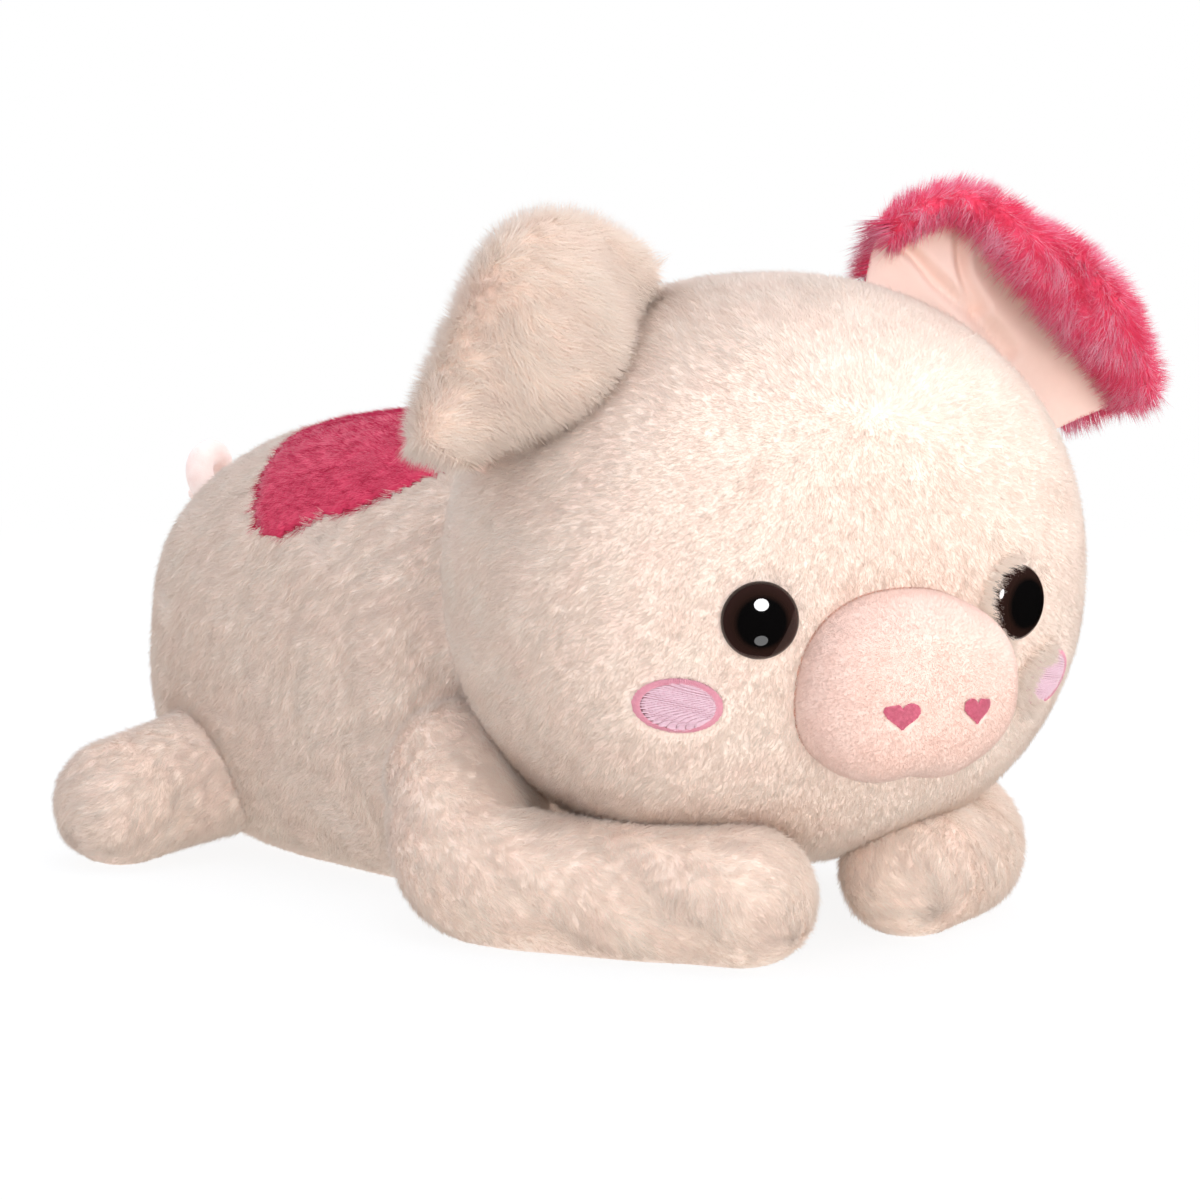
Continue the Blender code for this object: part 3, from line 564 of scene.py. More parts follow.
def scatter(mesh, density, rng):
    """Places spread evenly over a mesh, with the surface's direction at each."""
    mesh.calc_loop_triangles()
    index = np.empty(len(mesh.loop_triangles) * 3, np.int32)
    mesh.loop_triangles.foreach_get("vertices", index)
    index = index.reshape(-1, 3)
    points, normals = mesh_points(mesh), mesh_points(mesh, "normal")
    a, b, c = (points[index[:, k]] for k in range(3))
    areas = np.linalg.norm(np.cross(b - a, c - a), axis=1) / 2
    count = int(areas.sum() * density)
    chosen = np.searchsorted(np.cumsum(areas), rng.random(count) * areas.sum())
    chosen = np.minimum(chosen, len(index) - 1)
    u, v = rng.random(count), rng.random(count)
    flip = u + v > 1
    u[flip], v[flip] = 1 - u[flip], 1 - v[flip]
    weights = np.stack((1 - u - v, u, v), 1)[:, :, None]
    corner = index[chosen]
    return (points[corner] * weights).sum(1), unit((normals[corner] * weights).sum(1))


def grow_pile(name, body, slot, roots, normals, flow, lengths, tints, seed,
              lean=PILE_LEAN, swirl=0.45, roundness=0.8, tufting=1.0):
    """Strands of pile from their roots, leaning with the flow and parted into small tufts.

    flow gives the way that the pile lies at each root, and tints the materials, deep to light.
    Each strand is a thin spike. It takes its shade from the cloth under it, and from its own
    round side by the share in roundness.
    """
    rng = np.random.default_rng(seed)
    count = len(roots)
    along = unit(flow - (flow * normals).sum(1)[:, None] * normals)
    aside = np.cross(normals, along)
    large, small = (waves(roots, size, seed + 1 + k) for k, size in enumerate(SWIRL_SIZES))
    turn = swirl * (SWIRL_SHARES[0] * large + SWIRL_SHARES[1] * small)
    turn += rng.normal(0, TURN_SPREAD, count)
    way = along * np.cos(turn)[:, None] + aside * np.sin(turn)[:, None]
    tuft = tufting * waves(roots, TUFT_SIZE, seed + 3)
    tilt = lean + TUFT_SHARE * tuft + rng.normal(0, TILT_SPREAD, count)
    tilt = np.clip(tilt, *TILT_RANGE)[:, None]
    axis = normals * np.cos(tilt) + way * np.sin(tilt)
    reach = (lengths * (1 + TUFT_SHARE * tuft) * rng.uniform(*REACH_RANGE, count))[:, None]
    side = unit(np.cross(axis, rng.normal(size=(count, 3))))
    other = np.cross(axis, side)
    wider = 1
    half = (PILE_WIDTH / 2 * wider * rng.uniform(*WIDTH_RANGE, count))[:, None]
    root = roots - normals * ROOT_DEPTH
    angles = (0, math.tau / 3, 2 * math.tau / 3)
    rays = [side * math.cos(angle) + other * math.sin(angle) for angle in angles]
    points = np.stack((*(root + ray * half for ray in rays), root + axis * reach), 1)
    points[:, :, 2] = np.maximum(points[:, :, 2], FLOOR_CLEAR)
    cloth = normals + CLOTH_TILT * axis + rng.normal(0, CLOTH_SPREAD, (count, 3))
    cloth = cloth * (1 - roundness)
    shading = unit(np.stack([cloth + ray * roundness for ray in (*rays, axis)], 1))
    tone = TONE_SHARE * tuft + TONE_SHARE * waves(roots, TONE_SIZE, seed + 4)
    tone = tone + rng.normal(0, TONE_SPREAD, count)
    slots = np.digitize(tone, np.linspace(-TONE_SPAN, TONE_SPAN, len(tints) - 1))
    spike = np.array(((0, 1, 3), (1, 2, 3), (2, 0, 3)))
    groups = max(1, math.ceil(count * len(spike) / PIECE_FACES))
    for group in range(groups):
        chosen = slice(group, None, groups)
        corners = points[chosen].reshape(-1, 3)
        triangles = (np.arange(len(points[chosen]))[:, None, None] * 4 + spike).reshape(-1, 3)
        label = f"{name}_{group + 1}"
        mesh = triangle_mesh(label, corners, triangles, np.repeat(slots[chosen], 3))
        normal = mesh.attributes.new("custom_normal", "FLOAT_VECTOR", "POINT")
        normal.data.foreach_set("vector", shading[chosen].astype(np.float32).ravel())
        show(add_object(label, mesh, tints), body, slot)


def show(obj, body, slot, *nodes):
    """Hang an object on its body and hide the solids that it stands for. Its material slot is not
    used.
    """
    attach(obj, body)
    if nodes:
        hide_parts(*nodes)
    return obj


def add_piece(name, mesh, material, body, slot, *nodes):
    return show(add_object(name, mesh, [material]), body, slot, *nodes)


def pile_tints(name, deep, middle, light, sheen=0.0):
    """Five tones of one pile, from deep to light."""
    tints = []
    for step in range(5):
        low, high = (deep, middle) if step < 2 else (middle, light)
        share = step / 2 if step < 2 else step / 2 - 1
        colour = tuple(a + (b - a) * share for a, b in zip(low, high))
        label = f"{name}_{step + 1}"
        tint = new_material(label, colour, PILE_ROUGHNESS, sheen, PILE_SPECULAR, light)
        tints.append(tint[0])
    return tints


def density():
    return PILE_DENSITY * 1


def pressed_lengths(roots):
    """Pile lengths on the body and the limbs, shorter near the floor."""
    start, height, least = LOW_PILE
    return PILE_LENGTH * np.clip(start + roots[:, 2] / height, least, 1)


def head_places(spacing, drop):
    """Places on both sides of the turned head's front, as matrices that face outwards."""
    for name, side in (("left", 1), ("right", -1)):
        point, normal = head_surface(side * spacing / 2, -drop)
        yield name, head_matrix() @ Matrix.Translation(point) @ facing(normal)


def head_surface(x, z):
    """A point of the head's front at this side and height, about its middle, and its normal."""
    power = HEAD_POWERS[0]
    share = 1 - abs(x / HEAD_HALF[0]) ** power - abs(z / HEAD_HALF[2]) ** power
    point = np.array((x, -HEAD_HALF[1] * share ** (1 / power), z))
    slope = np.sign(point) * np.abs(point / HEAD_HALF) ** (power - 1) / HEAD_HALF
    return Vector(point), Vector(unit(slope))


def facing(normal):
    """A turn that takes +Z to a normal and keeps +Y upright."""
    across = Vector((0, 0, 1)).cross(normal).normalized()
    upright = normal.cross(across)
    return Matrix((across, upright, normal)).transposed().to_4x4()


def on_place(matrix, points):
    """World points seen from a place: across, upright and out."""
    inverse = np.array(matrix.inverted())
    return points @ inverse[:3, :3].T + inverse[:3, 3]


def make_head(skin_material, tints):
    mesh = swollen_mesh("head_plush", np.zeros(3), HEAD_HALF, HEAD_POWERS)
    set_points(mesh, from_head(mesh_points(mesh)))
    head = add_object("head_plush", mesh, [skin_material])
    show(head, "head", "plush_cream", "head_skin", "head_filling")

    rng = np.random.default_rng(SEED)
    roots, normals = scatter(mesh, density(), rng)
    local = to_head(roots)
    narrower = local - (fuller_snout(local) - local)
    keep = form_value(narrower, SNOUT_CENTRE, SNOUT_HALF * 0.96, SNOUT_POWERS) > 1
    keep &= outside_body(roots, 0.93)
    face = np.clip((-local[:, 1] / HEAD_HALF[1] - FACE_START) / FACE_BLEND, 0, 1)
    lengths = PILE_LENGTH * (1 - (1 - FACE_LENGTH_SHARE) * face)
    lean = PILE_LEAN + (FACE_LEAN - PILE_LEAN) * face
    far = local[:, 0] > 0
    for _, place in head_places(EYE_SPACING, EYE_DROP):
        seen = on_place(place, roots)
        distance = np.hypot(seen[:, 0], seen[:, 1])
        near = np.abs(seen[:, 2]) < NEAR_DEPTH
        keep &= ~(near & (distance < EYE_RADIUS - EYE_OVERLAP))
        inward = seen[:, 0] * np.sign(local[:, 0]) < 0
        brow = near & inward & far & (distance < EYE_RADIUS + BROW_REACH)
        lid = near & (distance < EYE_RADIUS + LID_REACH)
        lengths *= np.where(brow, BROW_SHARE, np.where(lid, LID_SHARE, 1))
        lean[brow] = BROW_LEAN
    for name, place in head_places(CHEEK_SPACING, CHEEK_DROP):
        seen = on_place(place, roots)
        oval = np.hypot(seen[:, 0] / CHEEK_HALF[0], seen[:, 1] / CHEEK_HALF[1])
        near = np.abs(seen[:, 2]) < NEAR_DEPTH
        inward = seen[:, 0] < 0
        bare = np.where(inward & (name == "left"), CHEEK_FAR_BARE, CHEEK_BARE)
        keep &= ~(near & (oval < bare))
        far_edge = near & inward & (oval < CHEEK_FAR_REACH) & far
        beside = near & (oval < CHEEK_REACH)
        lengths *= np.where(far_edge, BROW_SHARE, np.where(beside, CHEEK_SHARE, 1))
        lean[far_edge] = BROW_LEAN
    flow = from_head(local + HEAD_FLOW + unit(local) * HEAD_OUTWARD) - roots
    kept = np.flatnonzero(keep)
    kept = np.concatenate((kept, np.repeat(kept[lean[kept] == BROW_LEAN], BROW_STRANDS)))
    roots = roots + rng.normal(0, BROW_SHIFT, roots.shape)
    grow_pile(
        "head_pile", "head", "plush_cream", roots[kept], normals[kept], flow[kept],
        lengths[kept], tints, SEED + 1, lean=lean[kept], swirl=0.25, tufting=0.4,
    )


def patch_value(points):
    """Under 1 inside the patch's outline, seen from above."""
    x = points[:, 0] + PATCH_SIDE
    y = points[:, 1] - PATCH_BACK
    angle = np.arctan2(y / PATCH_LENGTH, x / PATCH_WIDTH)
    wave = 1 + PATCH_WAVE_SHARE * np.sin(PATCH_WAVES * angle)
    return np.hypot(2 * x / PATCH_WIDTH, 2 * y / PATCH_LENGTH) / wave


def make_body(skin_material, patch_painted_shade_material, tints, pink_tints):
    mesh = swollen_mesh("body_plush", BODY_CENTRE, BODY_HALF, BODY_POWERS)
    points = mesh_points(mesh)
    points[:, 2] -= BODY_SAG * np.clip(1 - points[:, 2] / BODY_SAG_HEIGHT, 0, 1) ** 2
    points[:, 2] = np.maximum(points[:, 2], 0)
    set_points(mesh, points)
    body = add_object("body_plush", mesh, [skin_material])
    show(body, "body", "plush_cream", "body_skin", "body_filling")

    rng = np.random.default_rng(SEED + 10)
    roots, normals = scatter(mesh, density(), rng)
    keep = outside_head(to_head(roots), 0.95) & (roots[:, 2] > BODY_PILE_FLOOR)
    value = patch_value(roots) + PATCH_RAGGED * waves(roots, PATCH_RAGGED_SIZE, SEED + 11)
    pink = (normals[:, 2] > 0) & (value < 1)
    flow = np.tile(BODY_FLOW, (len(roots), 1))
    lengths = pressed_lengths(roots)
    clear, least = TAIL_CLEAR
    lengths *= np.clip(np.linalg.norm(roots - TAIL_ROOT, axis=1) / clear, least, 1)
    # The patch's pile takes the darkened pink tints, which paint the shade on the back.
    for label, chosen, colours, slot, seed in (
        ("body_pile", keep & ~pink, tints, "plush_cream", SEED + 12),
        ("back_patch_pile", keep & pink, pink_tints, "plush_pink", SEED + 13),
    ):
        grow_pile(
            label, "body", slot, roots[chosen], normals[chosen], flow[chosen], lengths[chosen],
            colours, seed,
        )

    bm = bmesh.new()
    bm.from_mesh(mesh)
    outside = [
        face for face in bm.faces
        if face.normal.z < 0 or patch_value(np.array([face.calc_center_median()]))[0] > 1
    ]
    bmesh.ops.delete(bm, geom=outside, context="FACES")
    patch_mesh = bpy.data.meshes.new("back_patch_plush")
    bm.to_mesh(patch_mesh)
    bm.free()
    patch = add_object("back_patch_plush", patch_mesh, [patch_painted_shade_material])
    cloth = patch.modifiers.new("cloth", "SOLIDIFY")
    cloth.thickness = PATCH_CLOTH
    cloth.offset = PATCH_PROUD
    show(patch, "body", "plush_pink", "back_patch")


def limb_radius(share, root, end, length):
    radius = root + (end - root) * np.minimum(1, share / LIMB_TAPER_SHARE)
    for reach, cap in ((share * length, root), ((1 - share) * length, end)):
        left = np.clip(1 - reach / cap, 0, 1)
        radius = radius * np.sqrt(np.maximum(TIP_SHARE, 1 - left**2))
    return radius


def tube_points(line, radii, sides):
    """Rings of points about a line, with no twist between one ring and the next."""
    tangents = unit(np.gradient(line, axis=0))
    side = unit(np.cross(tangents[0], UP))
    rings = []
    angles = np.arange(sides) * math.tau / sides
    for point, tangent, radius in zip(line, tangents, radii):
        side = unit(side - tangent * (side @ tangent))
        other = np.cross(tangent, side)
        ring = np.cos(angles)[:, None] * side + np.sin(angles)[:, None] * other
        rings.append(point + ring * radius)
    return np.array(rings)


def limb_line(points, root, end):
    points = [np.array(point) for point in points]
    start = points[0] - unit(points[1] - points[0]) * root
    last = points[-1] + unit(points[-1] - points[-2]) * end
    share = np.linspace(0, 1, LIMB_STEPS + 1)
    share = (share + (1 - np.cos(math.pi * share)) / 2) / 2
    return through([start, *points, last], share)


def make_limb(name, skin_material, tints, seed):
    points, root, end = LIMBS[name]
    line = limb_line(points, root, end)
    reach = np.concatenate(([0], np.cumsum(np.linalg.norm(np.diff(line, axis=0), axis=1))))
    radii = limb_radius(reach / reach[-1], root, end, reach[-1])
    rings = tube_points(line, radii, LIMB_SIDES)
    mesh = closed(grid_mesh(name + "_plush", rings, wrap=True))
    shaped = mesh_points(mesh)
    shaped[:, 2] = np.maximum(shaped[:, 2], 0)
    set_points(mesh, shaped)
    limb = add_object(name + "_plush", mesh, [skin_material])
    show(limb, name, "plush_cream", name)

    roots, normals = scatter(mesh, density(), np.random.default_rng(seed))
    keep = outside_body(roots, 0.95) & outside_head(to_head(roots), 0.96)
    keep &= roots[:, 2] > LIMB_PILE_FLOOR
    flow = np.tile(np.array(points[-1]) - np.array(points[0]), (len(roots), 1))
    flow = unit(flow) + LIMB_DROOP
    grow_pile(
        name + "_pile", name, "plush_cream", roots[keep], normals[keep], flow[keep],
        pressed_lengths(roots)[keep], tints, seed + 1,
    )


def ear_points(name, place, along):
    """The ear's middle sheet about the head's middle, from the sewn line to the free edge."""
    side = 1 if name == "left" else -1
    lean = EAR_TOP_LEAN + (EAR_SIDE_LEAN - EAR_TOP_LEAN) * through(EAR_LEAN_SHARES, place)
    out = np.stack((side * np.cos(lean), np.zeros_like(lean), np.sin(lean)), -1)
    stands, edge_stand, edge_fold = EAR_SHARES[name]
    stand = EAR_STAND * through(stands, place)
    rise = (EAR_STAND * through(edge_stand, place))[..., None]
    fold = (EAR_FOLD * through(edge_fold, place))[..., None]
    away = EAR_TOP_OUT + (EAR_SIDE_OUT - EAR_TOP_OUT) * place
    crown = HEAD_HALF[2] * (1 - (away / HEAD_HALF[0]) ** HEAD_POWERS[0]) ** (1 / HEAD_POWERS[0])
    root = np.stack((side * away, np.full_like(away, EAR_BACK_SET), crown), -1)
    top = root + out * ((stand[..., None] - rise / 8) * 4 / 3)
    place, along = place[..., None], along[..., None]
    back_bend = top - AHEAD * (EAR_FOLD * EAR_BACKWARD_SHARE * (1 - place))
    front_bend = top + AHEAD * (fold + EAR_FOLD * EAR_FORWARD_SHARE * place)
    rest = 1 - along
    return (
        (root - out * EAR_ROOT_DEPTH) * rest**3
        + back_bend * (3 * rest**2 * along)
        + front_bend * (3 * rest * along**2)
        + (root + out * rise + AHEAD * fold) * along**3
    )


def ear_sheet(name):
    """The sheet's points, and its normals on the convex side, over the whole ear."""
    shares = np.linspace(0, 1, EAR_ACROSS), np.linspace(0, 1, EAR_ALONG)
    place, along = np.meshgrid(*shares, indexing="ij")
    points = ear_points(name, place, along)
    normals = unit(np.cross(np.gradient(points, axis=0), np.gradient(points, axis=1)))
    middle = points[EAR_ACROSS // 2]
    bulge = middle[EAR_ALONG // 2] - (middle[0] + middle[-1]) / 2
    if normals[EAR_ACROSS // 2, EAR_ALONG // 2] @ bulge < 0:
        normals = -normals
    return place, along, points, normals


def crease_relief(name, place, along):
    """How much thicker the lining is: puffed beside each crease and drawn in along it."""
    relief = np.zeros(place.shape)
    for crease in EAR_CREASES[name]:
        line = through(crease, np.linspace(0, 1, 40))
        gaps = np.hypot(place[..., None] - line[:, 0], along[..., None] - line[:, 1])
        gap = (gaps * EAR_SPAN).min(-1)
        relief += CREASE_PUFF * np.exp(-((gap / CREASE_PUFF_WIDTH) ** 2))
        relief -= CREASE_DEPTH * np.exp(-((gap / CREASE_WIDTH) ** 2))
    return relief


def shell_mesh(name, upper, lower):
    """A closed shell between two sheets that meet at their rims."""
    rows, columns = upper.shape[:2]
    rim = [(i, 0) for i in range(rows)] + [(rows - 1, j) for j in range(1, columns)]
    rim += [(i, columns - 1) for i in range(rows - 2, -1, -1)]
    rim += [(0, j) for j in range(columns - 2, 0, -1)]
    top = grid_mesh(name, upper)
    vertices = [tuple(v.co) for v in top.vertices]
    faces = [tuple(p.vertices) for p in top.polygons]
    offset = len(vertices)
    vertices += lower.reshape(-1, 3).tolist()
    faces += [tuple(offset + k for k in reversed(face)) for face in faces]
    ids = [i * columns + j for i, j in rim]
    for a, b in zip(ids, ids[1:] + ids[:1]):
        faces.append((b, a, a + offset, b + offset))
    bpy.data.meshes.remove(top)
    mesh = bpy.data.meshes.new(name)
    mesh.from_pydata(vertices, [], faces)
    return closed(mesh)


def make_ear(name, back_material, lining_material, tints, slot, seed):
    place, along, sheet, normals = ear_sheet(name)
    edge = np.minimum.reduce((place, 1 - place, 1 - along)) / EAR_ROUND_SHARE
    full = np.sqrt(np.clip(1 - (1 - np.clip(edge, 0, 1)) ** 2, EAR_THINNEST, 1))[..., None]
    depth = (EAR_LINING + crease_relief(name, place, along))[..., None]
    outer, middle, inner = (
        from_head(points.reshape(-1, 3)).reshape(sheet.shape)
        for points in (sheet + normals * EAR_CLOTH * full, sheet, sheet - normals * depth * full)
    )
    body = "ear_" + name
    label = f"ear_back_{name}_plush"
    shell = shell_mesh(label, outer, middle)
    add_piece(label, shell, back_material, body, slot, f"ear_back_{name}")
    label = f"ear_lining_{name}_velour"
    shell = shell_mesh(label, middle, inner)
    add_piece(label, shell, lining_material, body, "velour_peach", f"ear_lining_{name}")

    sheet_mesh = grid_mesh("ear_sheet", outer)
    sheet_mesh.update()
    rng = np.random.default_rng(seed)
    roots, _ = scatter(sheet_mesh, density() * EAR_DENSITY_SHARE, rng)
    bpy.data.meshes.remove(sheet_mesh)
    nearest = nearest_rows(roots, outer.reshape(-1, 3))
    turned_normals = unit(from_head(normals.reshape(-1, 3)) - HEAD_CENTRE)
    out_normals = turned_normals[nearest]
    outward = unit(np.gradient(middle, axis=1)).reshape(-1, 3)[nearest]
    keep = outside_head(to_head(roots), 0.97)
    grow_pile(
        f"ear_pile_{name}", body, slot, roots[keep], out_normals[keep], outward[keep],
        np.full(keep.sum(), PILE_LENGTH * EAR_LENGTH_SHARE), tints, seed + 1, swirl=0.5,
        lean=EAR_LEAN,
    )
    grow_fringe(name, body, slot, middle, turned_normals.reshape(outer.shape), tints, seed + 2)


def nearest_rows(points, table):
    """The row of the table nearest to each point."""
    tree = KDTree(len(table))
    for i, row in enumerate(table):
        tree.insert(row, i)
    tree.balance()
    return np.array([tree.find(point)[1] for point in points])


def grow_fringe(name, body, slot, sheet, normals, tints, seed):
    """Pile along the free edge and both ends of an ear, pointing out past the rim."""
    rng = np.random.default_rng(seed)
    roots, ways, ups, lengths = [], [], [], []
    along_way = unit(np.gradient(sheet, axis=1))
    across_way = unit(np.gradient(sheet, axis=0))
    skipped = EAR_ALONG // 6
    edges = (
        (sheet[:, -1], along_way[:, -1], normals[:, -1]),
        (sheet[0, skipped:], -across_way[0, skipped:], normals[0, skipped:]),
        (sheet[-1, skipped:], across_way[-1, skipped:], normals[-1, skipped:]),
    )
    for (line, way, up), share in zip(edges, FRINGE_SHARES):
        steps = np.linalg.norm(np.diff(line, axis=0), axis=1)
        total = np.concatenate(([0], np.cumsum(steps)))
        spots = rng.random(int(total[-1] * density() * FRINGE_DEPTH)) * total[-1]
        lengths.append(np.full(len(spots), PILE_LENGTH * share))
        for values, table in ((roots, line), (ways, way), (ups, up)):
            values.append(np.stack([np.interp(spots, total, table[:, k]) for k in range(3)], 1))
    roots, ways, ups = np.vstack(roots), unit(np.vstack(ways)), unit(np.vstack(ups))
    height = rng.uniform(-0.2, 1, len(roots))[:, None]
    inset = rng.uniform(0, FRINGE_INSET, len(roots))[:, None]
    roots = roots + ups * height * EAR_CLOTH - ways * inset
    outward = unit(ways + ups * (height * 0.9 - 0.1))
    grow_pile(
        f"ear_fringe_{name}", body, slot, roots, outward, ways, np.concatenate(lengths),
        tints, seed + 1, lean=FRINGE_LEAN, roundness=0.75,
    )


def fuller_snout(points):
    """Points of the snout about the head's middle, filled out on its left side."""
    share = np.clip(2 * points[..., 0] / SNOUT_HALF[0] - 1, 0, 1)
    moved = points.copy()
    moved[..., 0] += SNOUT_FULLER * share**2 * (3 - 2 * share)
    return moved


def make_snout(material, tints):
    mesh = swollen_mesh("snout_velour", SNOUT_CENTRE, SNOUT_HALF, SNOUT_POWERS, 128, 80)
    points = mesh_points(mesh)
    low = np.clip(-(points[:, 2] - SNOUT_CENTRE[2]) / SNOUT_HALF[2], 0, 1)
    points[:, 2] += np.exp(-((points[:, 0] / SNOUT_DIP_WIDTH) ** 2)) * low**3 * SNOUT_DIP
    set_points(mesh, from_head(fuller_snout(points)))
    snout = add_object("snout_velour", mesh, [material])
    show(snout, "head", "velour_pink", "snout_skin", "snout_filling")

    rng = np.random.default_rng(SEED + 110)
    roots, normals = scatter(mesh, density() * VELOUR_DENSITY_SHARE, rng)
    local = to_head(roots)
    keep = outside_head(local)
    for side in (1, -1):
        across = (local[:, 0] - side * NOSTRIL_SPACING / 2) / (HEART_SIZE[0] * HEART_BARE[0])
        up = (local[:, 2] - SNOUT_CENTRE[2] + NOSTRIL_DROP) / (HEART_SIZE[1] * HEART_BARE[1])
        keep &= (np.hypot(across, up) > 1) | (local[:, 1] > SNOUT_CENTRE[1])
    flow = from_head(local + SNOUT_FLOW) - roots
    grow_pile(
        "snout_pile", "head", "velour_pink", roots[keep], normals[keep], flow[keep],
        np.full(keep.sum(), VELOUR_LENGTH), tints, SEED + 111,
        lean=VELOUR_LEAN, swirl=0.3, tufting=0.3,
    )


def make_painted_seam_shadow(material):
    """A thin dark tube along the seam where the snout is sewn to the face: painted shadow in the
    crease.
    """
    angles = np.linspace(0, math.tau, 121), np.linspace(0, math.pi, 400)
    around, ahead = np.meshgrid(*angles, indexing="ij")
    out = np.sin(ahead)
    ways = np.stack((out * np.cos(around), -np.cos(ahead), out * np.sin(around)), -1)
    points = swell(ways.reshape(-1, 3), SNOUT_POWERS) * SNOUT_HALF + SNOUT_CENTRE
    points = fuller_snout(points)
    inside = form_value(points, np.zeros(3), HEAD_HALF, HEAD_POWERS).reshape(around.shape) < 1
    line = points.reshape(*around.shape, 3)[np.arange(len(around)), inside.argmax(1)]
    rings = tube_points(from_head(line), np.full(len(line), SEAM_SHADOW_RADIUS), 10)
    mesh = closed(grid_mesh("painted_seam_shadow", rings, wrap=True))
    add_piece("painted_seam_shadow", mesh, material, "head", "velour_pink")


def snout_front(x, z):
    """The snout's front at this side and height, about the head's middle."""
    share_x = abs((x - SNOUT_CENTRE[0]) / SNOUT_HALF[0]) ** SNOUT_POWERS[0]
    share_z = abs((z - SNOUT_CENTRE[2]) / SNOUT_HALF[2]) ** SNOUT_POWERS[0]
    depth = SNOUT_HALF[1] * max(0.0, 1 - share_x - share_z) ** (1 / SNOUT_POWERS[0])
    return np.array((x, SNOUT_CENTRE[1] - depth, z))


def thread_mesh(name, lines, width, rise):
    """Short satin threads, each a low arched strip along its line."""
    vertices, faces = [], []
    wide = len(THREAD_PROFILE)
    for line, normal in lines:
        line = np.array(line)
        side = unit(np.cross(normal, unit(line[-1] - line[0]))) * width / 2
        count = len(line)
        base = len(vertices)
        for k, point in enumerate(line):
            arch = math.sin(math.pi * (k / (count - 1))) ** 0.5
            lift = rise * (THREAD_END_SHARE + (1 - THREAD_END_SHARE) * arch)
            for offset, height in THREAD_PROFILE:
                vertices.append(point + side * offset + normal * lift * height)
        for k in range(count - 1):
            for j in range(wide - 1):
                a = base + k * wide + j
                faces.append((a, a + 1, a + wide + 1, a + wide))
    mesh = bpy.data.meshes.new(name)
    mesh.from_pydata([tuple(v) for v in vertices], [], faces)
    mesh.update()
    mesh.shade_smooth()
    return mesh


def make_nostrils(material):
    rng = np.random.default_rng(SEED + 40)
    angle = np.linspace(0, math.tau, HEART_OUTLINE, endpoint=False)
    x = np.sin(angle) ** 3 / 2 * HEART_SIZE[0]
    wave = sum(share * np.cos((k + 1) * angle) for k, share in enumerate(HEART_WAVE_SHARES))
    z = (wave + HEART_LIFT_SHARE) * HEART_SIZE[1]
    centre_z = SNOUT_CENTRE[2] - NOSTRIL_DROP
    for name, side in (("left", 1), ("right", -1)):
        centre_x = side * NOSTRIL_SPACING / 2
        slant = HEART_SLANT * side
        lines = []
        level = z.min() + THREAD / 2
        while level < z.max():
            crossing = np.flatnonzero(np.diff(np.sign(z + slant * x - level)) != 0)
            ends = np.sort(x[crossing])
            for left, right in zip(ends[::2], ends[1::2]):
                if right - left > THREAD:
                    left -= rng.uniform(0, HEART_UNEVEN)
                    right += rng.uniform(0, HEART_UNEVEN)
                    run = np.linspace(left, right, HEART_STITCH)
                    line = [snout_front(centre_x + v, centre_z + level - slant * v) for v in run]
                    middle = line[HEART_STITCH // 2] - SNOUT_CENTRE
                    slope = np.abs(middle / SNOUT_HALF) ** SNOUT_SLOPE_POWER
                    normal = unit(np.sign(middle) * slope / SNOUT_HALF)
                    way = (from_head(np.array([normal])) - HEAD_CENTRE)[0]
                    lines.append((from_head(np.array(line)) + way * HEART_LIFT, way))
            level += THREAD * HEART_ROW_SHARE
        node = "nostril_" + name
        mesh = thread_mesh(node, lines, THREAD, HEART_RISE)
        add_piece(node + "_stitches", mesh, material, "head", "thread_rose", node)


def head_line(place, points):
    """Points given across and upright from a place, laid on the head's surface."""
    result = []
    for x, y in points:
        local = head_matrix().inverted() @ (place @ Vector((x, y, 0)))
        point, _ = head_surface(local.x, local.z)
        result.append(np.array(head_matrix() @ point))
    return np.array(result)


